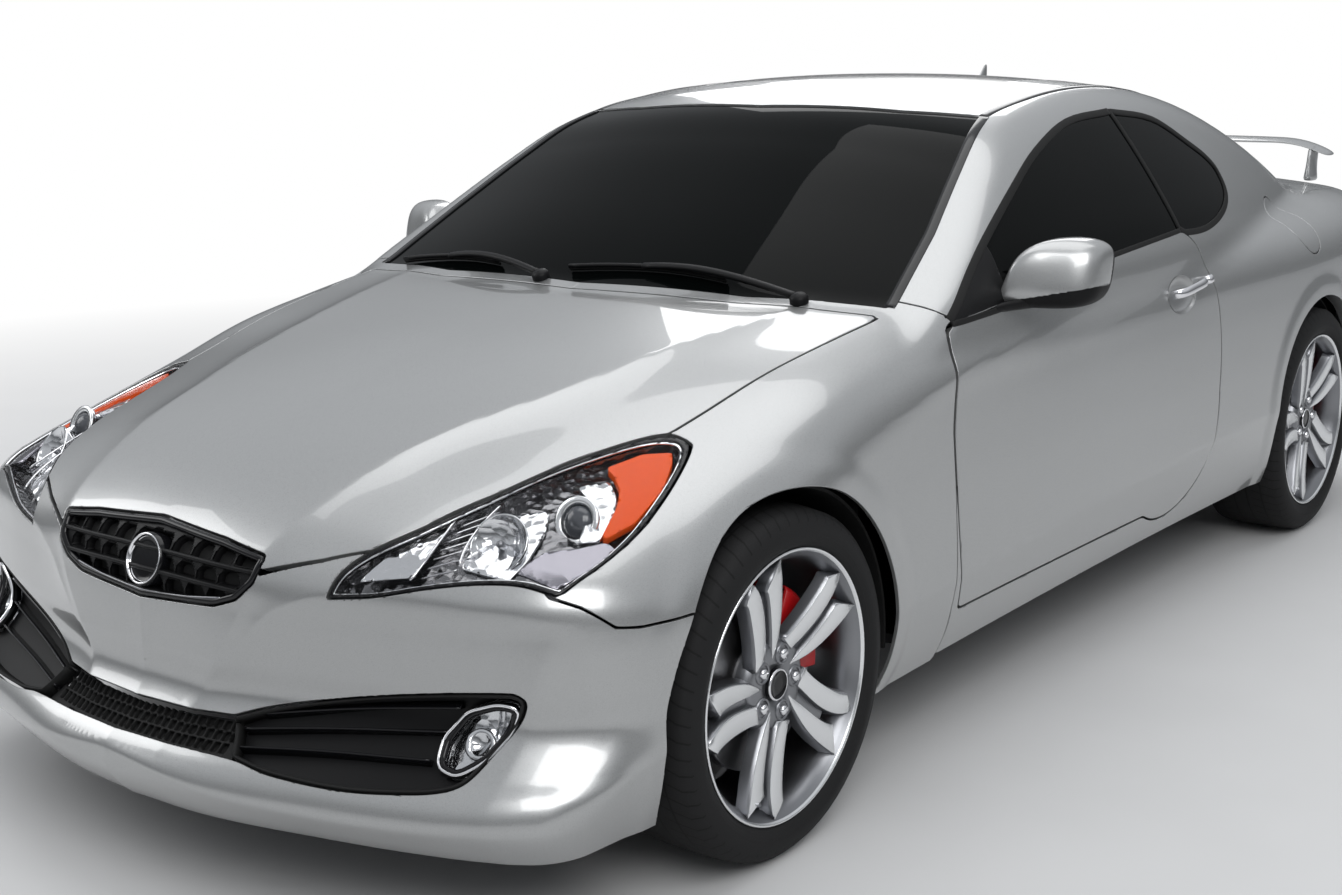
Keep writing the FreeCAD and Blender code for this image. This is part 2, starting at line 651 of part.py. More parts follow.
def make_floor():
    """Floor with its tunnel, firewall, front rails, boot floor, bulkhead and rear panel."""
    plate = box(-900, 900, -876, 904.7, 215, 236).common(hull(SIDE_T + PART_GAP))
    tunnel = box(-150, 150, -930, 904.7, 215, 400).cut(box(-130, 130, -931, 905, 190, 380))
    neck = box(-700, 700, -930, -870, 215, 236).cut(box(-130, 130, -931, -869, 200, 240))
    body = join([plate.cut(box(-130, 130, -931, 905, 200, 240)), tunnel, neck]).Solids
    solids = body + [box(-700, 700, -954, -930.3, 205, 860)]
    solids.append(box(-500, 500, 905, 925, 215, 420))
    solids.append(box(-500, 500, 905, 2119.7, 420.3, 440))
    solids.append(box(-640, 640, 905, 925, 440.3, 899.7))
    solids.append(box(-640, 640, 905, 1700, 900, 918))
    rear = box(-700, 700, 2120, 2160, 345, 740)
    solids.append(rear)
    for x in (-480, 420):
        solids.append(box(x, x + 60, -2080, -954.3, 420, 500))
    solids.append(box(-419.7, 419.7, -2040, -2000, 400, 540))
    return solids


def make_arch_liners():
    out = []
    for y, z, r, x1 in ((FRONT_AXLE_Y, FRONT_TYRE_R, FRONT_ARCH_R - 0.3, 880.0), (REAR_AXLE_Y, REAR_TYRE_R, REAR_ARCH_R - 0.3, 860.0)):
        ring = tube(V(1, 0, 0), V(560, y, z), x1 - 560, r, r - 6.0)
        ring = ring.common(box(500, 1000, y - 450, y + 450, 300, 900)).common(hull(18.0))
        out += keep_big(ring.cut(lamp_hole) if y < 0 else ring)
    return out + [mirror(s) for s in out]


def make_engine():
    return [box(-270, 270, -1800, -1080, 330, 690)]


def make_dashboard():
    rows = [(-880, 700), (-880, 880), (-760, 925), (-640, 905, -590, 840), (-570, 720), (-620, 640)]
    body = prism("yz", rows, -690, 690)
    column = Part.makeCylinder(28, 240, V(370, -640, 760), V(0, 0.94, 0.34))
    wheel = Part.makeTorus(180, 15, V(0, 0, 0), V(0, 0, 1))
    spokes = [box(-175, 175, -14, 14, -8, 8), box(-14, 14, -175, 0, -8, 8)]
    hub = Part.makeCylinder(55, 40, V(0, 0, -28))
    wheel = join([wheel, hub] + spokes)
    wheel.rotate(V(0, 0, 0), V(1, 0, 0), -70)
    wheel.translate(V(370, -415, 845))
    return join([body, column, wheel]).Solids


def make_seats():
    """Two front seats with side bolsters and head rests, and the rear bench."""
    cushion = [(-290, 300), (-300, 400, -260, 432), (-100, 408, 190, 395), (230, 330), (200, 300)]
    back = [(150, 390), (190, 350, 240, 380), (300, 640, 430, 930), (420, 965, 380, 950), (230, 660)]
    head = [(405, 985), (415, 965, 455, 985), (478, 1040, 480, 1100), (455, 1118, 425, 1105)]
    solids = []
    for x in (-390, 390):
        parts = [prism("yz", cushion, x - 170, x + 170), prism("yz", back, x - 165, x + 165)]
        for s in (-1, 1):
            x0, x1 = sorted((x + s * 165, x + s * 228))
            parts.append(prism("yz", cushion, x0, x1, 14.0))
            x0, x1 = sorted((x + s * 160, x + s * 222))
            parts.append(prism("yz", back, x0, x1, 12.0))
        parts.append(prism("yz", head, x - 125, x + 125))
        for s in (-1, 1):
            parts.append(Part.makeCylinder(7, 90, V(x + s * 60, 412, 915), V(0, 0.25, 0.97)))
        parts.append(box(x - 190, x + 190, -220, 180, 236.3, 305))
        solids += join(parts).Solids
    bench = [(520, 250), (505, 392, 560, 415), (700, 392, 772, 390), (836, 862), (856, 892, 884, 880), (902, 850),
             (898, 600), (880, 236.3), (520, 236.3)]
    rear = prism("yz", bench, -600, 600).cut(box(-150.3, 150.3, 400, 904.7, 200, 400.3))
    return solids + rear.Solids


def make_exhaust():
    pipe = tube(V(0, 1, 0), V(0, -1000, 165), 2700, 32)
    tips = [tube(V(0, 1, 0), V(x, 1990, 290), 255, 46, 41) for x in (-560, 560)]
    rear = box(-620, 620, 1780, 1995, 215, 345)
    cross = box(-32, 32, 1650, 1800, 140, 260)
    hangers = [box(x - 9, x + 9, 1876, 1894, 340, 420) for x in (-300, 300)]
    return join([pipe, rear, cross] + tips + hangers).Solids


def wheel_profile(radius, width, side):
    """Rim barrel, from the inner lip to the outer lip."""
    half = width / 2 - 8
    rows = [(-half, RIM_LIP_R), (-half, RIM_LIP_R - 14), (-half + 30, RIM_SEAT_R - 12), (half - 30, RIM_SEAT_R - 12),
            (half, RIM_LIP_R - 14), (half, RIM_LIP_R), (half - 8, RIM_LIP_R), (half - 12, RIM_SEAT_R),
            (-half + 12, RIM_SEAT_R), (-half + 8, RIM_LIP_R)]
    face = Part.Face(Part.makePolygon([V(x, 0, r) for x, r in rows + rows[:1]]))
    return face.revolve(V(0, 0, 0), V(1, 0, 0), 360)


# Caliper: inner and outer radius, and its start and end angle from the rear, upward
CALIPER_R = (97.0, 181.0)
CALIPER_TURN = (-8.0, 66.0)
# Dish of the spokes: radius, setback of the face behind the lip
DISH = [(50, 30), (70, 27), (100, 22), (140, 17.5), (180, 13), (215, 8), (232, 10), (241, 17)]
SPOKE_DEPTH = 24.0
# The two blades of a spoke pair and the floor between them, across the pair's middle line and out along it
BLADES = [[(-21, 68), (-11.5, 130, -15, 205), (-38, 250), (-59, 214), (-49, 130, -57, 64)],
          [(8, 55), (47, 162, 55, 242), (6, 203), (10, 120, 3, 50)]]
PAIR_FLOOR = [(-16, 58), (-14, 175), (12, 175), (10, 58)]
PAIR_TURN = 18.0
HUB_R = 90.0


def make_wheel(radius, width):
    """Rim, twin spokes, hub and brake disc about the X axis, outer side +X."""
    half = width / 2 - 8
    barrel = wheel_profile(radius, width, 1)
    hub = Part.makeCylinder(HUB_R, 31, V(half - 62, 0, 0), V(1, 0, 0))
    front = [V(half - d, 0, r) for r, d in DISH]
    back = [V(half - d - SPOKE_DEPTH, 0, r) for r, d in DISH]
    face = Part.Face(Part.makePolygon(front + back[::-1] + front[:1]))
    dish = face.revolve(V(0, 0, 0), V(1, 0, 0), 360)
    pair = [prism("yz", rows, half - 90, half).common(dish) for rows in BLADES]
    pair.append(prism("yz", PAIR_FLOOR, half - 50, half - 37))
    spokes = []
    for i in range(SPOKE_PAIRS):
        for bar in pair:
            turned = bar.copy()
            turned.rotate(V(0, 0, 0), V(1, 0, 0), PAIR_TURN + i * 360.0 / SPOKE_PAIRS)
            spokes.append(turned)
    body = join([barrel, hub] + spokes)
    disc = Part.makeCylinder(DISC_R, DISC_T, V(half - 100, 0, 0), V(1, 0, 0))
    bell = Part.makeCylinder(80, 42, V(half - 100, 0, 0), V(1, 0, 0))
    body = join([body, disc, bell])
    for i in range(5):
        a = math.radians(i * 72)
        p = V(half - 120, BOLT_CIRCLE_R * math.cos(a), BOLT_CIRCLE_R * math.sin(a))
        body = body.cut(Part.makeCylinder(BOLT_BORE_R, 140, p, V(1, 0, 0)))
    return body.cut(Part.makeCylinder(HUB_BORE_R, 200, V(half - 140, 0, 0), V(1, 0, 0)))


def make_tyre(radius, width):
    half = width / 2
    bead = RIM_LIP_R - 2
    rows = [(-half + 20, RIM_SEAT_R + 0.4), (-half + 20, bead + 2), (-half + 3, bead + 14), (-half, radius - 42),
            (-half + 8, radius - 14), (-half + 26, radius - 3), (0, radius), (half - 26, radius - 3),
            (half - 8, radius - 14), (half, radius - 42), (half - 3, bead + 14), (half - 20, bead + 2),
            (half - 20, RIM_SEAT_R + 0.4), (half - 34, RIM_SEAT_R + 8), (half - 20, radius - 30),
            (half - 40, radius - 14), (-half + 40, radius - 14), (-half + 20, radius - 30),
            (-half + 34, RIM_SEAT_R + 8)]
    face = Part.Face(Part.makePolygon([V(x, 0, r) for x, r in rows + rows[:1]]))
    return face.revolve(V(0, 0, 0), V(1, 0, 0), 360)


def make_caliper(x0, x1, y, z):
    """Brake caliper bent round the axle, over the disc's rear edge."""
    corners = [V(x0, CALIPER_R[0], 0), V(x1, CALIPER_R[0], 0), V(x1, CALIPER_R[1], 0), V(x0, CALIPER_R[1], 0)]
    face = Part.Face(Part.makePolygon(corners + corners[:1]))
    low, high = CALIPER_TURN
    face.rotate(V(0, 0, 0), V(1, 0, 0), low)
    body = face.revolve(V(0, 0, 0), V(1, 0, 0), high - low)
    body.translate(V(0, y, z))
    return body


def make_knuckle():
    """Carrier of the front left wheel with its caliper."""
    x = FRONT_WHEEL_X
    face_x = x + FRONT_TYRE_W / 2 - 8 - 100 - 0.3
    hub = Part.makeCylinder(36, face_x - x + 95, V(x - 95, FRONT_AXLE_Y, FRONT_TYRE_R), V(1, 0, 0))
    post = box(x - 95, x - 55, FRONT_AXLE_Y - 45, FRONT_AXLE_Y + 45, FRONT_TYRE_R - 120, FRONT_TYRE_R + 150)
    arm = box(x - 95, x - 60, FRONT_AXLE_Y + 30, FRONT_AXLE_Y + 160, FRONT_TYRE_R - 35, FRONT_TYRE_R + 35)
    caliper = make_caliper(x - 60, x + 48, FRONT_AXLE_Y, FRONT_TYRE_R)
    disc = Part.makeCylinder(DISC_R + 4, DISC_T + 8, V(x + 0, FRONT_AXLE_Y, FRONT_TYRE_R), V(1, 0, 0))
    axis_x = FRONT_WHEEL_X - KINGPIN_INSET
    pin = Part.makeCylinder(16, 60, V(axis_x, FRONT_AXLE_Y, 203.3), V(0, 0, 1))
    return join([hub, join([post, arm, caliper]).cut(disc), pin]).Solids


def place(shape, x, y, z, right=False):
    s = shape.copy()
    if right:
        s = mirror(s)
        x = -x
    s.translate(V(x, y, z))
    return s


def make_front_suspension():
    x = FRONT_WHEEL_X - KINGPIN_INSET
    arms = []
    for s in (-1, 1):
        x0, x1 = sorted((s * 300, s * (x + 22)))
        arms.append(box(x0, x1, FRONT_AXLE_Y - 30, FRONT_AXLE_Y + 30, 178, 203))
    parts = [box(-475, 475, FRONT_AXLE_Y - 60, FRONT_AXLE_Y + 60, 178, 290)] + arms
    for s in (-1, 1):
        x0, x1 = sorted((s * 425, s * 475))
        parts.append(box(x0, x1, FRONT_AXLE_Y - 40, FRONT_AXLE_Y + 40, 280, 419.7))
        x0, x1 = sorted((s * 120, s * 220))
        parts.append(box(x0, x1, FRONT_AXLE_Y - 40, FRONT_AXLE_Y + 40, 280, 329.7))
    return join(parts).Solids


def make_rear_suspension():
    parts = [box(-420, 420, REAR_AXLE_Y - 120, REAR_AXLE_Y + 120, 230, 300)]
    parts.append(box(-120, 120, REAR_AXLE_Y - 140, REAR_AXLE_Y + 140, 230, 400))
    for s in (-1, 1):
        x0, x1 = sorted((s * 100, s * (REAR_WHEEL_X - 60)))
        parts.append(box(x0, x1, REAR_AXLE_Y - 28, REAR_AXLE_Y + 28, REAR_TYRE_R - 28, REAR_TYRE_R + 28))
        x0, x1 = sorted((s * (REAR_WHEEL_X - 100), s * (REAR_WHEEL_X - 60)))
        parts.append(box(x0, x1, REAR_AXLE_Y - 60, REAR_AXLE_Y + 60, REAR_TYRE_R - 120, REAR_TYRE_R + 120))
        face = s * (REAR_WHEEL_X + REAR_TYRE_W / 2 - 8 - 100 - 0.3)
        start = V(s * (REAR_WHEEL_X - 80), REAR_AXLE_Y, REAR_TYRE_R)
        parts.append(Part.makeCylinder(36, abs(face - start.x), start, V(s, 0, 0)))
        wheel_x = REAR_WHEEL_X
        x0, x1 = sorted((s * (wheel_x - 62), s * (wheel_x + 56)))
        caliper = make_caliper(x0, x1, REAR_AXLE_Y, REAR_TYRE_R)
        start = wheel_x + REAR_TYRE_W / 2 - 8 - 104
        gap = tube(V(s, 0, 0), V(s * start, REAR_AXLE_Y, REAR_TYRE_R), DISC_T + 8, DISC_R + 4)
        parts.append(caliper.cut(gap))
        x0, x1 = sorted((s * (wheel_x - 100), s * (wheel_x - 60)))
        parts.append(box(x0, x1, REAR_AXLE_Y + 50, REAR_AXLE_Y + 110, REAR_TYRE_R - 40, REAR_TYRE_R + 40))
        for y in (-100, 60):
            x0, x1 = sorted((s * 360, s * 400))
            parts.append(box(x0, x1, REAR_AXLE_Y + y, REAR_AXLE_Y + y + 40, 290, 419.7))
    return join(parts).Solids


def make_antenna():
    rows = [(850, 1330), (912, 1401), (918, 1400), (920, 1330)]
    return prism("yz", rows, -8, 8).cut(hull(-PART_GAP)).Solids


def main():
    left = {}
    left["front_fender"] = make_fenders()
    left["body_side"] = make_body_side()
    left["door"] = make_door()
    left["door_glass"] = make_door_glass()
    left["door_mirror"] = make_mirror()
    left["door_handle"] = make_handle()
    left["knuckle"] = make_knuckle()
    for name, solids in left.items():
        save(name + "_right", [mirror(s) for s in solids])
        if name == "body_side":
            solids = cut_flap_pocket(solids)
        save(name + "_left", solids)
    for end, r, w, x, y in (("front", FRONT_TYRE_R, FRONT_TYRE_W, FRONT_WHEEL_X, FRONT_AXLE_Y),
                            ("rear", REAR_TYRE_R, REAR_TYRE_W, REAR_WHEEL_X, REAR_AXLE_Y)):
        wheel = make_wheel(r, w)
        tyre = make_tyre(r, w)
        for hand in ("left", "right"):
            save("wheel_" + end + "_" + hand, place(wheel, x, y, r, hand == "right"))
            save("tyre_" + end + "_" + hand, place(tyre, x, y, r, hand == "right"))
    save("front_bumper", make_front_bumper())
    save("upper_grille", make_upper_grille())
    save("intake_grilles", make_intake_grilles())
    save("fog_lamps", make_fog_lamps())
    save("headlamps", make_headlamps())
    save("hood", make_hood())
    save("cowl_panel", make_cowl())
    save("windscreen", make_windscreen())
    save("roof_panel", make_roof())
    save("sunroof_glass", make_sunroof())
    save("rear_window", make_rear_window())
    save("quarter_glass", make_quarter_glass())
    save("trunk_lid", make_trunk_lid())
    save("tail_lamps", make_tail_lamps())
    save("rear_bumper", make_rear_bumper())
    save("rear_spoiler", make_spoiler())
    save("fuel_flap", make_fuel_flap())
    save("floor_pan", make_floor())
    save("arch_liners", make_arch_liners())
    save("engine_block", make_engine())
    save("dashboard", make_dashboard())
    save("seats", make_seats())
    save("exhaust", make_exhaust())
    save("front_suspension", make_front_suspension())
    save("rear_suspension", make_rear_suspension())
    save("antenna_fin", make_antenna())


main()
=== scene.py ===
import functools
import math

import bmesh
import bpy
from bpy.props import FloatProperty, FloatVectorProperty, PointerProperty
from mathutils import Matrix, Vector
import numpy as np


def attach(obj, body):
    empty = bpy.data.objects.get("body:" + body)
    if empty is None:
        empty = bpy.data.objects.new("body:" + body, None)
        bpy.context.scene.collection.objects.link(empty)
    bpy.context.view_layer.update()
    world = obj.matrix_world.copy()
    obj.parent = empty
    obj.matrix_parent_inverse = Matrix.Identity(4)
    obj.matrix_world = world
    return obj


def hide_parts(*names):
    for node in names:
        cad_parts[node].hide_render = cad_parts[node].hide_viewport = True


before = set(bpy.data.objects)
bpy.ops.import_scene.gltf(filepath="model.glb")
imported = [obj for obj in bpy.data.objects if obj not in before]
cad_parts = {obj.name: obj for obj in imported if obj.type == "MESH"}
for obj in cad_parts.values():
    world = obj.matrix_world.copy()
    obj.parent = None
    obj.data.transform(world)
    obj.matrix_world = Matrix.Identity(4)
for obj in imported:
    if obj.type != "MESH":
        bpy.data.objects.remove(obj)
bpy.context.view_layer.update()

bl_info = {"name": "Coupe car", "version": (1, 0, 0), "blender": (4, 5, 0),
           "location": "3D View > Sidebar > Coupe",
           "description": "Builds the looks of a two-door coupe around its packed frame",
           "category": "Object",}

MM = 0.001
COARSE_STEP = 60.0
CREASE_ROOM = 6.0
TAIL_ROOM = 0.6
SLOPE_STEP = 0.6

# Axles in mm: place along the car, height of the hub, radius of the arch
FRONT_AXLE, FRONT_HUB, FRONT_ARCH = -1485.0, 331.0, 369.0
REAR_AXLE, REAR_HUB, REAR_ARCH = 1335.0, 339.0, 377.0
FRONT_TRACK, REAR_TRACK = 796, 799
SECTION = {"front": (225, FRONT_HUB), "rear": (245, REAR_HUB)}

# Centre line of bonnet, waist and deck: y, z, in mm as in the CAD
DECK_LINE = [(-2400, 480), (-2300, 560), (-2205, 632), (-2156, 665), (-2080, 705), (-1950, 757),
             (-1750, 815), (-1485, 872), (-1250, 908), (-1050, 935), (-900, 950), (-500, 960), (0, 965),
             (500, 975), (1000, 985), (1500, 1005), (1750, 1020), (1950, 1022), (2150, 1010),
             (2230, 990), (2320, 930), (2400, 850)]
DECK_FALL = [(-2400, 125), (-2156, 120), (-1950, 105), (-1636, 93), (-1485, 78), (-1290, 48),
             (-1082, 34), (-881, 20), (0, 20), (1200, 30), (1700, 40), (2400, 60)]
WAIST = [(-2400, 830), (-2300, 850), (-2000, 895), (-1850, 908), (-1485, 922), (-1100, 910),
         (-800, 905), (-300, 902), (200, 904), (600, 912), (1000, 924), (1335, 932), (1700, 925),
         (2000, 900), (2200, 860), (2400, 790)]
SIDE_LEAN = [(120, 95), (150, 75), (205, 45), (260, 22), (320, 8), (400, 0), (550, 0), (650, 5),
             (750, 12), (850, 24), (920, 42), (970, 62), (1020, 95), (1100, 170)]
ROOF_LINE = [(-1200, 820), (-1010, 935), (-850, 1030), (-650, 1140), (-450, 1245), (-310, 1310),
             (-200, 1340), (0, 1368), (200, 1383), (300, 1385), (450, 1382), (700, 1362), (950, 1322),
             (1200, 1262), (1450, 1185), (1700, 1095), (1850, 1040), (1950, 1000), (2100, 930)]
ROOF_CROWN = [(-1010, 45), (-600, 50), (-200, 44), (200, 38), (800, 40), (1300, 50), (1800, 60)]
CABIN_SIDE = [(0, 300), (400, 600), (700, 800), (800, 848), (870, 868), (930, 864), (1000, 836),
              (1100, 785), (1200, 727), (1300, 662), (1400, 590), (1500, 510)]
CABIN_TAPER = [(-1300, 60), (-1000, 20), (-500, 5), (0, 0), (400, 5), (800, 30), (1200, 80),
               (1600, 150), (2000, 240), (2300, 320)]
NOSE = [(100, -2150), (150, -2235), (200, -2290), (250, -2314), (290, -2300), (320, -2265),
        (380, -2215), (450, -2214), (535, -2212), (604, -2203), (665, -2160), (720, -2080),
        (780, -1960), (850, -1700), (1000, -1300), (1500, -800)]
NOSE_SWEEP = [(0, 0), (200, 15), (408, 64), (600, 120), (700, 158), (800, 215), (850, 262), (880, 305),
              (905, 360), (930, 450), (960, 620), (1100, 1500)]
TAIL = [(100, 2080), (120, 2120), (200, 2200), (260, 2270), (350, 2300), (500, 2315), (650, 2312),
        (750, 2295), (850, 2270), (950, 2245), (1000, 2225), (1050, 2195), (1150, 2100), (1500, 1700)]
TAIL_SWEEP = [(0, 0), (300, 12), (500, 40), (650, 85), (750, 145), (820, 215), (870, 310), (900, 400),
              (925, 560), (960, 800), (1100, 1600)]


def smooth_line(rows):
    """Smooth curve through the rows of a table, as a function of an array."""
    xs = np.array([r[0] for r in rows], float)
    ys = np.array([r[1] for r in rows], float)
    h = np.diff(xs)
    d = np.diff(ys) / h
    m = np.concatenate([d[:1], (d[:-1] * h[1:] + d[1:] * h[:-1]) / (h[:-1] + h[1:]), d[-1:]])

    def curve(x):
        c = np.clip(x, xs[0], xs[-1])
        i = np.clip(np.searchsorted(xs, c, side="right") - 1, 0, len(xs) - 2)
        t = (c - xs[i]) / h[i]
        a = ys[i] * (2 * t**3 - 3 * t**2 + 1) + h[i] * m[i] * (t**3 - 2 * t**2 + t)
        a = a + ys[i + 1] * (-2 * t**3 + 3 * t**2) + h[i] * m[i + 1] * (t**3 - t**2)
        return a + np.minimum(x - xs[0], 0) * m[0] + np.maximum(x - xs[-1], 0) * m[-1]

    return curve


# Creases: place along the body, place across it, height of the ridge
HOOD_CREASE = [(-2180, 281, 12), (-2033, 311, 14), (-1953, 328, 14), (-1778, 367, 14), (-1586, 429, 13),
               (-1298, 491, 11), (-1109, 537, 9), (-973, 569, 6), (-850, 590, 3)]
UPPER_CREASE = [(-1500, 705, 0), (-1236, 745, 3), (-1015, 783, 7), (-844, 813, 9), (-563, 839, 10),
                (-277, 864, 9), (60, 895, 7), (318, 921, 2), (500, 930, 0)]
HAUNCH_CREASE = [(150, 838, 0), (350, 855, 3), (548, 872, 7), (1010, 917, 9), (1337, 940, 9),
                 (1704, 969, 8), (1950, 975, 5), (2150, 975, 0)]
LOWER_CREASE = [(-1100, 375, 4), (-843, 383, 7), (-488, 393, 8), (-58, 402, 8), (477, 418, 8),
                (902, 425, 7), (1100, 425, 4)]
BEAK_CREASE = [(285, 126, 1.5), (347, 142, 11), (383, 155, 12), (464, 203, 12), (561, 257, 11),
               (626, 272, 10), (665, 283, 9), (760, 300, 0)]
SHELF_CREASE = [(120, 380, 0), (242, 470, 5), (291, 530, 8), (366, 573, 9), (541, 606, 9),
                (707, 642, 8), (820, 655, 3)]
CORNER_CREASE = [(230, 748, 3), (347, 749, 6), (407, 756, 7), (477, 770, 6), (560, 790, 0)]
LIP_CREASE = [(0, 283, 8), (79, 272, 8.5), (295, 246, 11), (450, 239, 11), (617, 239, 10),
              (760, 243, 7), (880, 240, 4)]


def ridge(rows, soft=5.0):
    """Function giving the height of a soft ridge from the place along it and across it."""
    line = smooth_line([(r[0], r[1]) for r in rows])
    rise = smooth_line([(r[0], r[2]) for r in rows])
    first, last = rows[0][0], rows[-1][0]

    def height(along, across, below, above):
        d = across - line(np.clip(along, first, last))
        width = np.where(d < 0, below, above)
        fall = (np.sqrt(d * d + soft * soft) - soft) / width
        return rise(np.clip(along, first, last)) * np.exp(-fall)

    return height


hood_ridge, upper_ridge, haunch_ridge = map(ridge, (HOOD_CREASE, UPPER_CREASE, HAUNCH_CREASE))
lower_ridge, beak_ridge, shelf_ridge = map(ridge, (LOWER_CREASE, BEAK_CREASE, SHELF_CREASE))
corner_ridge, lip_ridge = ridge(CORNER_CREASE), ridge(LIP_CREASE, 9.0)


def unit(v):
    """Vectors scaled to length 1."""
    return v / np.linalg.norm(v, axis=-1, keepdims=True)


def safe_unit(v):
    """Like unit, also where a vector has no length."""
    return v / np.maximum(np.linalg.norm(v, axis=-1, keepdims=True), 1e-9)


def turns(count):
    """Angles that divide a full turn evenly."""
    return np.linspace(0, math.tau, count + 1)[:-1]


def step_down(t):
    """One below 0, none above 1, smooth between."""
    t = np.clip(t, 0, 1)
    return 1 - t * t * (3 - 2 * t)


def side_relief(y, z):
    """Height of the side's creases and wheel arch bands."""
    out = upper_ridge(y, z, 48, 110) + haunch_ridge(y, z, 120, 45) + lower_ridge(y, z, 55, 75)
    for axle, hub, arch in ((FRONT_AXLE, FRONT_HUB, FRONT_ARCH), (REAR_AXLE, REAR_HUB, REAR_ARCH)):
        r = np.hypot(y - axle, z - hub) - arch
        out = out + 6.0 * step_down((r - 24) / 50.0)
    return out


def front_relief(x, z):
    """Height of the bumper's creases."""
    return (beak_ridge(z, x, 330, 48) + shelf_ridge(x, z, 85, 55) + corner_ridge(z, x, 60, 40)
            + lip_ridge(x, z, 22, 45))


deck_line, deck_fall, waist, side_lean = map(smooth_line, (DECK_LINE, DECK_FALL, WAIST, SIDE_LEAN))
roof_line, roof_crown, cabin_side = map(smooth_line, (ROOF_LINE, ROOF_CROWN, CABIN_SIDE))
cabin_taper, nose, nose_sweep = map(smooth_line, (CABIN_TAPER, NOSE, NOSE_SWEEP))
tail, tail_sweep = map(smooth_line, (TAIL, TAIL_SWEEP))


def round_max(a, b, k):
    """Greater of two distances, blended where they are within k."""
    return np.maximum(a, b) + np.maximum(k - np.abs(a - b), 0) ** 2 / (4 * k)


def round_min(a, b, k):
    """Lesser of two distances, blended where they are within k."""
    return np.minimum(a, b) - np.maximum(k - np.abs(a - b), 0) ** 2 / (4 * k)


def form(p):
    """Signed distance outside the body, in mm, at points in mm."""
    x, y, z = np.abs(p[..., 0]), p[..., 1], p[..., 2]
    top = z - (deck_line(y) - deck_fall(y) * (x / 750) ** 2.2) - hood_ridge(y, x, 190, 52) * (y < -500)
    side = x - (waist(y) - side_lean(z)) - side_relief(y, z) + CREASE_ROOM
    low = round_max(top, side, 150)
    roof = z - (roof_line(y) - roof_crown(y) * (x / 600) ** 2.2)
    glass = x - (cabin_side(z) - cabin_taper(y))
    cabin = round_max(roof * 0.9, glass * 0.9, 60)
    body = round_min(low, cabin, 24)
    body = round_max(body, (nose(z) + nose_sweep(x) - y - front_relief(x, z) + CREASE_ROOM) * 0.85, 40)
    return round_max(body, (y - tail(z) + tail_sweep(x) + TAIL_ROOM) * 0.85, 60)


def slope(p):
    """Outward unit normal of the form at points on it."""
    n = np.stack([form(p + e) - form(p - e) for e in np.eye(3) * SLOPE_STEP], -1)
    return safe_unit(n)


# Rays start on a line inside the car and end outside it
CORE_Z = 410.0
CORE_FRONT = -1500.0
CORE_REAR = 1650.0
RAY_START, RAY_END, HALVINGS = 30.0, 1700.0, 20
# Angles in degrees where the sides end below, and rough lengths of a section, the underside and an end
LOW_LEFT, LOW_RIGHT = -17, 197
SECTION_RUN, UNDER_RUN, END_RUN = 3600, 1900, 1500


def cast(origin, way):
    """Points where rays from inside leave the form."""
    low = np.full(way.shape[:-1], RAY_START)
    high = np.full(way.shape[:-1], RAY_END)
    for _ in range(HALVINGS):
        mid = (low + high) / 2
        out = form(origin + way * mid[..., None]) > 0
        high = np.where(out, mid, high)
        low = np.where(out, low, mid)
    return origin + way * low[..., None]


def even_angles(y, spots, first, last):
    """Angles that step evenly round the cross section at y."""
    a = np.radians(np.linspace(first, last, 500))
    way = np.stack([np.cos(a), 0 * a, np.sin(a)], -1)
    q = cast(np.array([0, y, CORE_Z]), way)
    run = np.concatenate([[0], np.cumsum(np.linalg.norm(np.diff(q, axis=0), axis=1))])
    return np.interp(np.linspace(0, run[-1], spots), run, a)


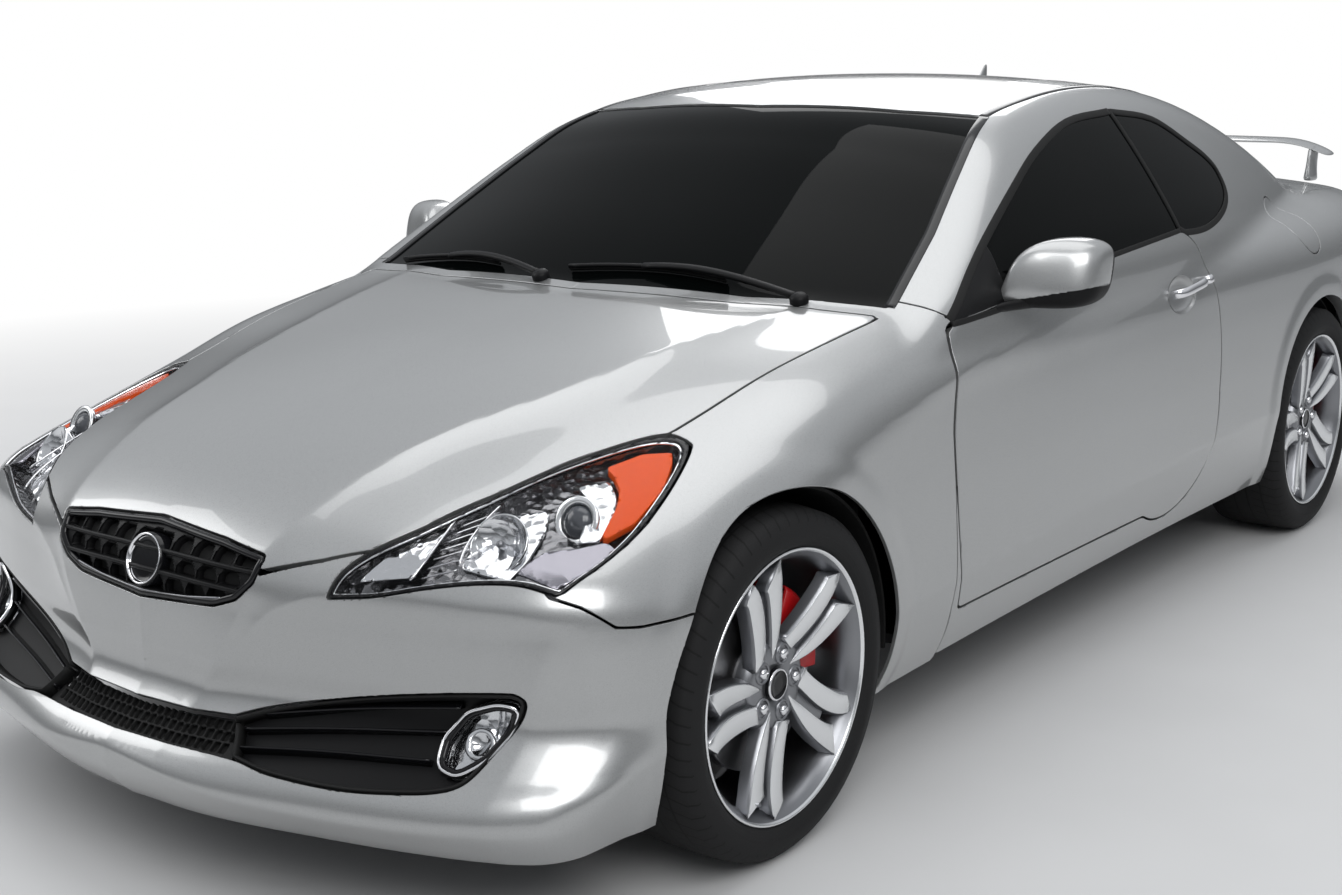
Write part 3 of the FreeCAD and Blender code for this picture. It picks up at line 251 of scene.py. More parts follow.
def skin(step):
    """Whole outer surface as a fine net: points in mm and four-cornered faces."""
    ny = int((CORE_REAR - CORE_FRONT) / step)
    nt, nb, nf = (int(run / step) for run in (SECTION_RUN, UNDER_RUN, END_RUN))
    ys = np.linspace(CORE_FRONT, CORE_REAR, ny + 1)
    angle = np.array([even_angles(y, nt + 1, LOW_LEFT, LOW_RIGHT) for y in ys[::6]])
    spots = np.arange(0, ny + 1, 6)
    angle = np.stack([np.interp(np.arange(ny + 1), spots, angle[:, i]) for i in range(nt + 1)], -1)
    way = np.stack([np.cos(angle), 0 * angle, np.sin(angle)], -1)
    origin = np.stack([0 * angle, ys[:, None] + 0 * angle, CORE_Z + 0 * angle], -1)
    points = [cast(origin, way).reshape(-1, 3)]
    index = np.arange((ny + 1) * (nt + 1)).reshape(ny + 1, nt + 1)
    quads = [np.stack([index[:-1, :-1], index[1:, :-1], index[1:, 1:], index[:-1, 1:]], -1).reshape(-1,
            4)]
    count = index.size
    for sign, edge, row in ((-1, CORE_FRONT, 0), (1, CORE_REAR, -1)):
        low = np.radians(np.linspace(LOW_RIGHT, LOW_LEFT + 360, nb + 2)[1:-1])
        a = np.concatenate([angle[row], low])
        fan = np.radians(np.linspace(0, 89.97, nf + 1)[1:])
        way = np.stack([np.cos(a) * np.cos(fan[:, None]), sign * np.sin(fan[:, None]) + 0 * a,
                        np.sin(a) * np.cos(fan[:, None])], -1)
        q = cast(np.array([0, edge, CORE_Z]), way)
        net = count + np.arange(q.shape[0] * q.shape[1]).reshape(q.shape[:2])
        first = np.concatenate([index[row], np.full(nb, -1)])
        ring0 = cast(np.array([0, edge, CORE_Z]), np.stack([np.cos(low), 0 * low, np.sin(low)], -1))
        count += net.size
        first[nt + 1:] = count + np.arange(nb)
        count += nb
        points += [q.reshape(-1, 3), ring0]
        net = np.concatenate([first[None], net])
        net = np.concatenate([net, net[:, :1]], 1)
        q4 = np.stack([net[:-1, :-1], net[1:, :-1], net[1:, 1:], net[:-1, 1:]], -1).reshape(-1, 4)
        quads.append(q4[:, ::-1] if sign < 0 else q4)
    return np.concatenate(points), np.concatenate(quads)


def clip(points, faces, value):
    """Keeps the part of a net of triangles where value, one number a point, is below zero."""
    v = value[faces]
    keep = (v < 0).sum(1)
    whole = faces[keep == 3]
    out = [whole]
    new = []
    base = len(points)
    for want in (1, 2):
        f = faces[keep == want]
        if not len(f):
            continue
        w = value[f] < 0
        lone = np.argmax(w if want == 1 else ~w, axis=1)
        r = np.arange(len(f))
        a, b, c = f[r, lone], f[r, (lone + 1) % 3], f[r, (lone + 2) % 3]
        pa, pb = base + np.arange(len(f)), base + len(f) + np.arange(len(f))
        base += 2 * len(f)
        for other in (b, c):
            t = value[a] / (value[a] - value[other])
            new.append(points[a] + (points[other] - points[a]) * t[:, None])
        if want == 1:
            out.append(np.stack([a, pa, pb], -1))
        else:
            out += [np.stack([pa, b, c], -1), np.stack([pa, c, pb], -1)]
    points = np.concatenate([points] + new)
    faces = np.concatenate(out)
    used, faces = np.unique(faces, return_inverse=True)
    points = points[used]
    key = np.round(points * 50).astype(np.int64)
    _, first, back = np.unique(key, axis=0, return_index=True, return_inverse=True)
    faces = back.reshape(-1)[faces.reshape(-1, 3)]
    bad = (faces[:, 0] == faces[:, 1]) | (faces[:, 1] == faces[:, 2]) | (faces[:, 0] == faces[:, 2])
    return points[first], faces[~bad]


GAP = 4.6
# Outlines in mm; rows of 2 numbers are corners, rows of 4 are an arc through a point to an end
DOOR = [(-843, 900), (-871, 700), (-866, 560, -842, 312), (130, 298), (480, 365, 553, 560),
        (564, 690, 512, 885), (470, 950, 408, 983), (187, 975), (-28, 966)]
FENDER = [(-880, 200), (-876, 560, -881, 700), (-853, 900), (-816, 912), (-877, 960), (-1000, 1000),
          (-1900, 900), (-1985, 640), (-1990, 610), (-1963, 594), (-1925, 558), (-1887, 553),
          (-1775, 554), (-1775, 200)]
HOOD = [(0, -2190), (283, -2170), (385, -2120), (487, -2060), (577, -1830), (661, -1650), (684, -1540),
        (702, -1364), (721, -1167), (739, -976), (741, -930), (434, -995), (0, -1022)]
WINDSCREEN = [(0, -985), (434, -956), (738, -885), (700, -660), (592, -215), (400, -262), (0, -292)]
ROOF = [(0, -282), (400, -252), (586, -205), (575, 200), (560, 600), (520, 960), (300, 985), (0, 995)]
SUNROOF = [(0, 60), (420, 70), (430, 90), (430, 720), (415, 740), (0, 745)]
REAR_WINDOW = [(0, 1005), (300, 995), (525, 970), (600, 1300), (645, 1690), (400, 1741), (0, 1752)]
TRUNK_TOP = [(0, 1764), (400, 1754), (665, 1728), (700, 1800), (700, 2100), (640, 2400), (0, 2400)]
GRILLE = [(0, 662), (180, 650), (283, 636), (275, 592), (240, 560), (190, 543), (0, 530)]
INTAKE = [(0, 351), (232, 355), (268, 304), (150, 307), (0, 307)]
FOG = [(632, 332), (622, 367), (655, 407), (706, 425), (738, 420), (724, 381), (700, 342), (670, 322)]
TAIL_LAMP = [(705, 800), (705, 930), (780, 960), (930, 945), (930, 850), (860, 805)]
REAR_BUMPER_SIDE = [(2400, 760), (2160, 755), (1720, 600), (1700, 560), (1640, 200), (2400, 150)]
FLAP = (1285.0, 925.0, 78.0)
BODY_SIDE = [(-878, 213), (1760, 213), (2170, 700), (2230, 765), (2400, 765), (2400, 1100),
             (1500, 1450), (-300, 1450), (-905, 950), (-816, 907), (-870, 700)]


def both(rows):
    """Full outline from the rows of its left half."""
    return rows + [(-a, b) for a, b in rows if a > 0][::-1]


def bend(rows, sharp):
    """Smooth closed curve through the rows; the corners numbered in sharp are kept."""
    c = np.array(rows, float)
    ahead = np.roll(c, -1, 0) - c
    run = np.linalg.norm(ahead, axis=1)[:, None]
    way = (ahead + np.roll(ahead, 1, 0)) / (run + np.roll(run, 1, 0))
    out = []
    for i in range(len(c)):
        j = (i + 1) % len(c)
        a = ahead[i] if i in sharp else way[i] * run[i]
        b = ahead[i] if j in sharp else way[j] * run[i]
        for t in (0, 0.2, 0.4, 0.6, 0.8):
            ends = c[i] * (2 * t**3 - 3 * t**2 + 1) + c[j] * (3 * t**2 - 2 * t**3)
            out.append(tuple((ends + a * (t**3 - 2 * t**2 + t) + b * (t**3 - t**2)).tolist()))
    return out


DOOR_GLASS = bend([(-827, 914), (-711, 984), (-578, 1055), (-385, 1143), (-188, 1217), (57, 1275),
                   (320, 1290), (400, 989), (187, 980), (-28, 971)], (0, 6, 7))
QUARTER_GLASS = bend([(405, 992), (326, 1290), (576, 1261), (740, 1196), (880, 1122), (884, 1056),
                      (791, 1009), (615, 979), (445, 979)], (0, 1))
LAMP = bend([(420, 583), (431, 622), (460, 655), (510, 687), (560, 725), (600, 758), (665, 785),
             (720, 782), (760, 752), (800, 690), (806, 650), (786, 612), (730, 626), (662, 626),
             (584, 614), (500, 594)], (0, 11))
BEZEL = bend([(238, 355), (297, 374), (397, 397), (550, 427), (728, 448), (749, 437), (743, 410),
              (714, 357), (693, 316), (669, 304), (608, 295), (494, 288), (364, 293), (290, 303),
              (274, 306)], (0, 14))


def trace(rows):
    """Corner points of an outline with its arcs stepped out."""
    out = [rows[0]]
    for row in rows[1:]:
        if len(row) == 2:
            out.append(row)
            continue
        (ax, ay), (bx, by), (cx, cy) = out[-1], row[:2], row[2:]
        d = 2 * (ax * (by - cy) + bx * (cy - ay) + cx * (ay - by))
        a2, b2, c2 = ax * ax + ay * ay, bx * bx + by * by, cx * cx + cy * cy
        ux = (a2 * (by - cy) + b2 * (cy - ay) + c2 * (ay - by)) / d
        uy = (a2 * (cx - bx) + b2 * (ax - cx) + c2 * (bx - ax)) / d
        r = math.hypot(ax - ux, ay - uy)
        t0, t2 = (math.atan2(q - uy, p - ux) for p, q in ((ax, ay), (cx, cy)))
        turn = math.copysign(math.tau, (bx - ax) * (cy - ay) - (by - ay) * (cx - ax))
        while (t2 - t0) * turn < 0:
            t2 += turn
        while abs(t2 - t0) > math.tau:
            t2 -= turn
        out += [(ux + r * math.cos(t0 + (t2 - t0) * i / 16), uy + r * math.sin(t0 + (t2 - t0) * i / 16))
                for i in range(1, 17)]
    return np.array(out, float)


def rounded(rows, radius=0.0):
    """Outline with its corners rounded off by cutting them with short curves."""
    c = trace(rows)
    if not radius:
        return c
    out = []
    for i in range(len(c)):
        a, b, d = c[i - 1], c[i], c[(i + 1) % len(c)]
        la, ld = np.linalg.norm(a - b), np.linalg.norm(d - b)
        r = min(radius, la * 0.45, ld * 0.45)
        p, q = b + (a - b) * r / la, b + (d - b) * r / ld
        for k in range(7):
            t = k / 6
            out.append(p * (1 - t) ** 2 + b * 2 * t * (1 - t) + q * t**2)
    return np.array(out)


def zone(axes, rows, radius=0.0):
    """Function giving the signed distance of points outside an outline seen along one axis."""
    c = rounded(rows, radius)
    d = np.roll(c, -1, axis=0) - c
    low, high = c.min(0) - 60, c.max(0) + 60
    flat = np.eye(3)[:, ["xyz".index(k) for k in axes]] if isinstance(axes, str) else axes

    def distance(p):
        uv = p @ flat
        out = np.full(len(p), 60.0)
        near = np.nonzero(((uv > low) & (uv < high)).all(1))[0]
        for part in np.array_split(near, max(1, len(near) // 20000)):
            q = uv[part]
            best = np.full(len(q), 1e9)
            inside = np.zeros(len(q), bool)
            for a, e in zip(c, d):
                w = q - a
                t = np.clip((w @ e) / max(e @ e, 1e-9), 0, 1)
                best = np.minimum(best, ((w - t[:, None] * e) ** 2).sum(1))
                cross = (a[1] > q[:, 1]) != (a[1] + e[1] > q[:, 1])
                at = a[0] + e[0] * (q[:, 1] - a[1]) / (e[1] if e[1] else 1e-9)
                inside ^= cross & (q[:, 0] < at)
            out[part] = np.where(inside, -1, 1) * np.sqrt(best)
        return out

    return distance


def disc(axes, u, v, r):
    """Function giving the distance of points outside a circle seen along one axis."""
    i, j = ("xyz".index(k) for k in axes)
    return lambda p: np.hypot(p[:, i] - u, p[:, j] - v) - r


def outside(f, gap=GAP):
    """Beyond a zone by the panel gap."""
    return lambda p: gap - f(p)


def beyond(axis, limit, sign=1):
    """Where sign times the coordinate is more than the limit."""
    i = "xyz".index(axis)
    return lambda p: limit - sign * p[:, i]


def mirrored(f):
    """The same zone on the other side of the car."""
    return lambda p: f(p * np.array([-1, 1, 1]))


def trim(net, cuts):
    """Part of a net inside all the cuts."""
    points, faces = net
    values = [f(points) for f in cuts]
    ok = np.all([v < 0 for v in values], axis=0)
    near = np.all([(v < 25.0) for v in values], axis=0)
    faces = faces[near[faces].all(1) | ok[faces].any(1)]
    used, faces = np.unique(faces, return_inverse=True)
    points, faces = points[used], faces.reshape(-1, 3)
    for f in cuts:
        points, faces = clip(points, faces, f(points))
    return points, faces


def rim_of(faces):
    """Edges used by one face only, in the faces' order."""
    e = np.concatenate([faces[:, [0, 1]], faces[:, [1, 2]], faces[:, [2, 0]]])
    key = np.sort(e, 1)
    _, back, count = np.unique(key, axis=0, return_inverse=True, return_counts=True)
    return e[count[back.reshape(-1)] == 1]


def mesh_object(name, points, faces, normals=None, slots=None, materials=()):
    """Mesh object from points in mm, with a normal for each corner where given."""
    mesh = bpy.data.meshes.new(name)
    mesh.from_pydata((np.asarray(points) * MM).tolist(), [], [tuple(int(i) for i in f) for f in faces])
    obj = bpy.data.objects.new(name, mesh)
    bpy.context.collection.objects.link(obj)
    for m in materials:
        mesh.materials.append(m)
    if slots is not None:
        mesh.polygons.foreach_set("material_index", np.asarray(slots, np.int32))
    mesh.polygons.foreach_set("use_smooth", np.ones(len(mesh.polygons), bool))
    if normals is not None:
        mesh.normals_split_custom_set(np.asarray(normals).tolist())
    return obj


def panel(name, nets, cuts, depth, materials, inner=True, sink=0.0, roll=1.6):
    """Sheet panel: smooth outer skin, rolled edge and inner face. Sink moves all of it inward."""
    p, f = trim(nets[0], cuts)
    n = slope(p)
    p = p - n * sink
    e = rim_of(f)
    side = safe_unit(np.cross(p[e[:, 1]] - p[e[:, 0]], n[e[:, 0]]))
    spots, back = np.unique(e, return_inverse=True)
    back = back.reshape(-1, 2)
    out = np.zeros((len(spots), 3))
    np.add.at(out, back[:, 0], side)
    np.add.at(out, back[:, 1], side)
    out = safe_unit(out)
    rolled = p.copy()
    rolled[spots] -= out * roll
    ring1 = p[spots] - n[spots] * roll
    ring2 = p[spots] - n[spots] * depth
    k = len(p)
    a, b = e[:, 0], e[:, 1]
    a1, b1 = k + back[:, 0], k + back[:, 1]
    m = k + len(spots)
    a2, b2 = m + back[:, 0], m + back[:, 1]
    points = [rolled, ring1, ring2]
    tri = [f, np.stack([b, a, a1], -1), np.stack([b, a1, b1], -1), np.stack([b1, a1, a2], -1),
           np.stack([b1, a2, b2], -1)]
    norm = np.concatenate([n, out, out])
    slots = [np.zeros(len(x), int) for x in tri]
    if inner:
        q, g = trim(nets[1], cuts)
        nq = slope(q)
        base = m + len(spots)
        points.append(q - nq * (depth + sink))
        tri.append(g[:, ::-1] + base)
        norm = np.concatenate([norm, -nq])
        slots.append(np.ones(len(g), int))
    tri = np.concatenate(tri)
    return mesh_object(name, np.concatenate(points), tri, norm[tri.reshape(-1)], np.concatenate(slots),
                       materials)


class Wire:
    """Shader socket that takes part in plain arithmetic."""

    def __init__(self, tree, socket):
        self.tree, self.socket = tree, socket

    def math(self, kind, *others):
        return self.tree.node("ShaderNodeMath", {"operation": kind},
                              dict(enumerate((self,) + others)))[0]

    def __add__(self, o):
        return self.math("ADD", o)

    __radd__ = __add__

    def __mul__(self, o):
        return self.math("MULTIPLY", o)

    __rmul__ = __mul__

    def __sub__(self, o):
        return self.math("SUBTRACT", o)

    def __rsub__(self, o):
        return self.tree.node("ShaderNodeMath", {"operation": "SUBTRACT"}, {0: o, 1: self})[0]

    def __truediv__(self, o):
        return self.math("DIVIDE", o)

    def __rtruediv__(self, o):
        return self.tree.node("ShaderNodeMath", {"operation": "DIVIDE"}, {0: o, 1: self})[0]

    def __pow__(self, o):
        return self.math("POWER", o)

    def __abs__(self):
        return self.math("ABSOLUTE")

    def __mod__(self, o):
        return self.math("FLOORED_MODULO", o)

    def __lt__(self, o):
        return self.math("LESS_THAN", o)

    def __gt__(self, o):
        return self.math("GREATER_THAN", o)

    def clamp(self, low=0.0, high=1.0):
        return self.math("MAXIMUM", low).math("MINIMUM", high)


class Shade:
    """Material with a node tree built from expressions."""

    def __init__(self, name, color, rough, metal=0.0, **fixed):
        self.material = bpy.data.materials.new(name)
        self.material.use_nodes = True
        self.tree = self.material.node_tree
        self.bsdf = self.tree.nodes["Principled BSDF"]
        self.material.diffuse_color = (*color, 1)
        for key, value in {"Base Color": (*color, 1), "Roughness": rough, "Metallic": metal,
                           **fixed}.items():
            self.bsdf.inputs[key].default_value = value

    def node(self, kind, settings, inputs):
        """New node; returns its outputs as wires."""
        n = self.tree.nodes.new(kind)
        for key, value in settings.items():
            setattr(n, key, value)
        for key, value in inputs.items():
            if isinstance(value, Wire):
                self.tree.links.new(value.socket, n.inputs[key])
            else:
                n.inputs[key].default_value = value
        return [Wire(self, s) for s in n.outputs]

    def where(self):
        """Place in the material's own object, as x, y, z wires and as a vector."""
        v = self.node("ShaderNodeTexCoord", {}, {})[3]
        return self.node("ShaderNodeSeparateXYZ", {}, {0: v}) + [v]

    def noise(self, scale, detail=2.0, vector=None):
        v = vector or self.where()[3]
        return self.node("ShaderNodeTexNoise", {}, {"Vector": v, "Scale": scale, "Detail": detail})[0]

    def cells(self, scale, vector=None, feature="F1"):
        v = vector or self.where()[3]
        return self.node("ShaderNodeTexVoronoi", {"feature": feature}, {"Vector": v, "Scale": scale})

    def mix(self, factor, a, b):
        """Colour between a and b."""
        n = self.tree.nodes.new("ShaderNodeMix")
        n.data_type = "RGBA"
        for spot, value in ((0, factor), (6, a), (7, b)):
            if isinstance(value, Wire):
                self.tree.links.new(value.socket, n.inputs[spot])
            else:
                n.inputs[spot].default_value = (*value, 1) if spot else value
        return Wire(self, n.outputs[2])

    def drive(self, key, wire):
        self.tree.links.new(wire.socket, self.bsdf.inputs[key])
        return self

    def bump(self, height, strength=0.3, distance=0.001):
        n = self.node("ShaderNodeBump", {}, {"Strength": strength, "Distance": distance,
                "Height": height})[0]
        return self.drive("Normal", n)


def car_paint(name, color):
    """Metallic paint with fine flakes under a clear coat."""
    s = Shade(name, color, 0.3, 0.75, **{"Coat Weight": 1.0, "Coat Roughness": 0.03})
    flake = s.cells(2600.0)[1]
    grey = s.node("ShaderNodeSeparateColor", {}, {0: flake})[0]
    s.drive("Base Color", s.mix(grey, [c * 0.86 for c in color], [min(1, c * 1.12) for c in color]))
    s.drive("Roughness", 0.27 + 0.1 * grey)
    return s.material


def plastic(name, color, rough, grain=900.0, strength=0.25, **fixed):
    """Grained finish of plastic, rubber, cloth or cast iron."""
    s = Shade(name, color, rough, **fixed)
    n = s.noise(grain, 3.0)
    s.drive("Base Color", s.mix(n, [c * 0.85 for c in color], [c * 1.15 for c in color]))
    s.drive("Roughness", (rough - 0.05) + 0.1 * n)
    s.bump(n, strength, 0.0003)
    return s.material


def clear_glass(name, color, alpha, rough=0.02, shine=0.5, bend_index=1.45):
    """Glass or clear plastic that lets a part of the light through."""
    s = Shade(name, color, rough, **{"IOR": bend_index, "Specular IOR Level": shine})
    n = s.noise(3.0)
    s.drive("Alpha", (alpha - 0.01) + 0.02 * n)
    s.drive("Base Color", s.mix(n, color, [c * 1.1 for c in color]))
    return s.material


def metal(name, color, rough, facet=0.0, push=0.0):
    """Bare or plated metal, with cells pressed into it where facet is set."""
    s = Shade(name, color, rough, 1.0)
    n = s.noise(300.0, 4.0)
    s.drive("Roughness", (rough * 0.8) + (rough * 0.4) * n)
    s.drive("Base Color", s.mix(n, [c * 0.93 for c in color], color))
    if facet:
        s.bump(s.cells(facet)[0], push, 0.01)
    return s.material


M = {}


def make_materials(colours):
    """Every finish of the car, kept by name."""
    M["paint"] = car_paint("silver_paint", tuple(colours.paint))
    M["inner"] = plastic("inner_shell", (0.10, 0.10, 0.105), 0.6, 60)
    M["black"] = plastic("black_trim", (0.005, 0.005, 0.0055), 0.45, 500,
                         **{"Specular IOR Level": 0.18})
    M["gloss"] = plastic("gloss_black", (0.005, 0.005, 0.006), 0.14, 200, 0.05,
                         **{"Specular IOR Level": 0.35})
    M["rubber"] = plastic("rubber_seal", (0.009, 0.009, 0.009), 0.65, 700,
                          **{"Specular IOR Level": 0.25})
    # Near-black glass that is almost opaque: partly real tint, partly painted shade of the cabin behind
    # it.
    M["glass"] = clear_glass("tinted_glass", (0.0015, 0.002, 0.002), 0.965, 0.02, 0.3, 1.16)
    M["clear"] = clear_glass("lamp_cover", (0.02, 0.021, 0.022), 0.05, 0.02, 0.25)
    M["red"] = clear_glass("red_lens", (0.42, 0.006, 0.008), 0.6, 0.05)
    M["red_back"] = plastic("red_reflector", (0.30, 0.004, 0.006), 0.2, 150, 0.1)
    M["amber"] = plastic("amber_lens", tuple(colours.amber), 0.2, 150, 0.1,
                         **{"Specular IOR Level": 0.2})
    M["chrome"] = metal("chrome", (0.9, 0.9, 0.92), 0.06)
    M["reflector"] = metal("lamp_reflector", (0.80, 0.81, 0.83), 0.12, 42.0, 0.3)
    M["alloy"] = metal("alloy_face", (0.86, 0.87, 0.88), 0.24)
    # Darker copy of the alloy: painted shade on blade flanks, floors between blades, rim barrel, hub and
    # pocket walls; also on the grille's lower line and the lamp bulbs.
    M["alloy_painted_shade"] = metal("alloy_painted_shade", (0.27, 0.275, 0.29), 0.34)
    M["steel"] = metal("bare_steel", (0.45, 0.45, 0.46), 0.35)
    M["iron"] = plastic("chassis_black", (0.03, 0.03, 0.032), 0.6, 120)
    M["caliper"] = plastic("red_caliper", tuple(colours.caliper), 0.35, 300)
    M["cabin"] = plastic("cabin_plastic", tuple(colours.cabin), 0.7, 800)
    M["cloth"] = plastic("seat_cloth", tuple(colours.cloth), 0.9, 1500, 0.5)
    M["carpet"] = plastic("carpet", (0.015, 0.015, 0.016), 0.95, 1200, 0.6)
    # Near-black sheet put behind openings: painted shade where there is only darkness behind the grilles.
    M["void"] = plastic("dark_behind", (0.0035, 0.0035, 0.0035), 0.85, 100)
    M["lamp_dark"] = metal("lamp_housing_grey", (0.27, 0.27, 0.28), 0.2, 48.0, 0.55)
    M["lamp_frame"] = metal("lamp_frame", (0.36, 0.35, 0.39), 0.22, 30.0, 0.25)
    M["lamp_trim"] = metal("lamp_trim", (0.55, 0.55, 0.57), 0.18)
    M["lens"] = clear_glass("projector_lens", (0.06, 0.065, 0.075), 0.95, 0.02, 0.9)
    M["white"] = plastic("plain_white", (0.6, 0.6, 0.6), 0.5, 100)


def lathe(name, rows, steps, materials, slots=None, center=(0, 0, 0), sign=1):
    """Turned piece about an axis along X: rows of x and radius in mm, one material slot a band."""
    rows = np.array(rows, float)
    a = turns(steps)
    pts = np.stack([np.repeat(rows[:, 0] * sign, steps), np.outer(rows[:, 1], np.cos(a)).ravel(),
                    np.outer(rows[:, 1], np.sin(a)).ravel()], -1)
    faces, mats = [], []
    for i in range(len(rows) - 1):
        for k in range(steps):
            n = (k + 1) % steps
            q = (i * steps + k, i * steps + n, (i + 1) * steps + n, (i + 1) * steps + k)
            faces.append(q if sign > 0 else q[::-1])
            mats.append(slots[i] if slots else 0)
    obj = mesh_object(name, pts, faces, slots=mats, materials=materials)
    obj.location = Vector(center) * MM
    return obj


def join_objects(name, objects):
    """One object of several, with the first one's origin."""
    bpy.context.view_layer.update()
    first = objects[0]
    base = first.matrix_world.inverted()
    verts, faces, mats, slots, smooth = [], [], [], [], []
    for o in objects:
        shift = base @ o.matrix_world
        start = len(verts)
        verts += [shift @ v.co for v in o.data.vertices]
        spots = []
        for m in o.data.materials:
            if m not in mats:
                mats.append(m)
            spots.append(mats.index(m))
        for p in o.data.polygons:
            faces.append([start + i for i in p.vertices])
            slots.append(spots[p.material_index] if spots else 0)
            smooth.append(p.use_smooth)
    mesh = bpy.data.meshes.new(name)
    mesh.from_pydata(verts, [], faces)
    for m in mats:
        mesh.materials.append(m)
    mesh.polygons.foreach_set("material_index", slots)
    mesh.polygons.foreach_set("use_smooth", smooth)
    obj = bpy.data.objects.new(name, mesh)
    bpy.context.collection.objects.link(obj)
    obj.matrix_world = first.matrix_world.copy()
    for o in objects:
        old = o.data
        bpy.data.objects.remove(o)
        bpy.data.meshes.remove(old)
    return obj


def sharpen(obj, degrees=35):
    """Smooth shading with edges sharper than the angle kept crisp."""
    obj.data.polygons.foreach_set("use_smooth", np.ones(len(obj.data.polygons), bool))
    obj.data.set_sharp_from_angle(angle=math.radians(degrees))
    return obj


def bevelled(obj, width, segments=2):
    """Bevel on the edges sharper than 35 degrees, width in mm."""
    m = obj.modifiers.new("bevel", "BEVEL")
    m.width, m.segments, m.limit_method, m.angle_limit = width * MM, segments, "ANGLE", math.radians(35)
    m.harden_normals = False
    return obj


def applied(obj):
    """The object with its modifiers made part of its mesh."""
    graph = bpy.context.evaluated_depsgraph_get()
    mesh = bpy.data.meshes.new_from_object(obj.evaluated_get(graph))
    obj.modifiers.clear()
    old = obj.data
    obj.data = mesh
    bpy.data.meshes.remove(old)
    return obj


def block(name, low, high, material, bevel=0.0, segments=2):
    """Box between two corners in mm."""
    x0, y0, z0 = low
    x1, y1, z1 = high
    pts = [(x, y, z) for x in (x0, x1) for y in (y0, y1) for z in (z0, z1)]
    faces = [(0, 1, 3, 2), (4, 6, 7, 5), (0, 4, 5, 1), (2, 3, 7, 6), (0, 2, 6, 4), (1, 5, 7, 3)]
    obj = mesh_object(name, pts, faces, materials=[material])
    if bevel:
        obj = applied(bevelled(obj, bevel, segments))
    return sharpen(obj)


def rod(name, a, b, radius, material, steps=16, radius2=None):
    """Round bar between two points in mm."""
    a, b = np.array(a, float), np.array(b, float)
    w = (b - a) / np.linalg.norm(b - a)
    u = np.cross(w, (0, 0, 1) if abs(w[2]) < 0.9 else (1, 0, 0))
    u = unit(u)
    v = np.cross(w, u)
    t = turns(steps)
    ring = np.outer(np.cos(t), u) + np.outer(np.sin(t), v)
    pts = np.concatenate([a + ring * radius, b + ring * (radius2 or radius)])
    faces = [(k, (k + 1) % steps, steps + (k + 1) % steps, steps + k) for k in range(steps)]
    faces += [tuple(range(steps))[::-1], tuple(range(steps, 2 * steps))]
    return sharpen(mesh_object(name, pts, faces, materials=[material]))


# Edges of the two bright blades of a spoke pair: out along the pair's middle line, and across it
BLADES = [([(64, 57), (100, 51), (147, 48), (190, 53), (214, 59)], [(68, 21), (111, 13), (155, 11),
        (205, 15), (250, 38)]), ([(50, -3), (95, -7), (140, -10), (175, -12), (203, -6)],
                                 [(55, -8), (112, -36), (162, -47), (207, -54), (242, -55)])]
PAIR_FLOOR = ([(56, 24), (110, 16), (178, 14)], [(56, -10), (110, -12), (178, -14)])
DISH = [(0, 30), (50, 30), (70, 27), (100, 22), (140, 17.5), (180, 13), (215, 8), (232, 7), (247, 6)]
PAIR_ANGLE = 36.0
BLADE_DEPTH = 26.0
BARREL = 246.5
BOLT_CIRCLE = 57.15


def edge_curve(rows, count):
    """Even points on the smooth curve near rows."""
    rows = np.array(rows, float)
    t = np.linspace(0, 1, len(rows))
    s = np.linspace(0, 1, count)
    return np.stack([np.polyval(np.polyfit(t, rows[:, i], min(3, len(rows) - 1)), s) for i in (0, 1)],
                    -1)


def blade(edges, angle, lip, drop=0.0):
    """One blade of a pair: machined face, narrow bevel and flanks that widen inward; the flanks carry
    painted shade in the darker alloy.
    """
    left, right = (edge_curve(e, 13) for e in edges)
    loop = np.concatenate([left, right[::-1]])
    d = np.roll(loop, -1, 0) - np.roll(loop, 1, 0)
    out = np.stack([-d[:, 1], d[:, 0]], -1) / np.linalg.norm(d, axis=1, keepdims=True)
    n = len(loop)
    pts = []
    for grow, down in ((-1.4, 0.0), (0.2, 0.9), (2.5, 9.0), (6.5, BLADE_DEPTH)):
        q = loop + out * grow
        r = np.linalg.norm(q, axis=1)
        q = q * np.minimum(1, BARREL / r)[:, None]
        r = np.minimum(r, BARREL)
        x = lip - np.interp(r, [a for a, _ in DISH], [b for _, b in DISH]) - down - drop
        y = q[:, 0] * math.cos(angle) - q[:, 1] * math.sin(angle)
        z = q[:, 0] * math.sin(angle) + q[:, 1] * math.cos(angle)
        pts.append(np.stack([x, y, z], -1))
    faces = [(k, k + 1, n - 2 - k, n - 1 - k) for k in range(12)]
    slots = [0] * 12
    for ring in range(3):
        for k in range(n):
            l = (k + 1) % n
            faces.append((ring * n + k, (ring + 1) * n + k, (ring + 1) * n + l, ring * n + l))
            slots.append(0 if ring == 0 else 1)
    # A dropped floor between the blades is all in the darker alloy: painted shade in the recess.
    if drop:
        slots = [1] * len(slots)
    return np.concatenate(pts), faces, slots


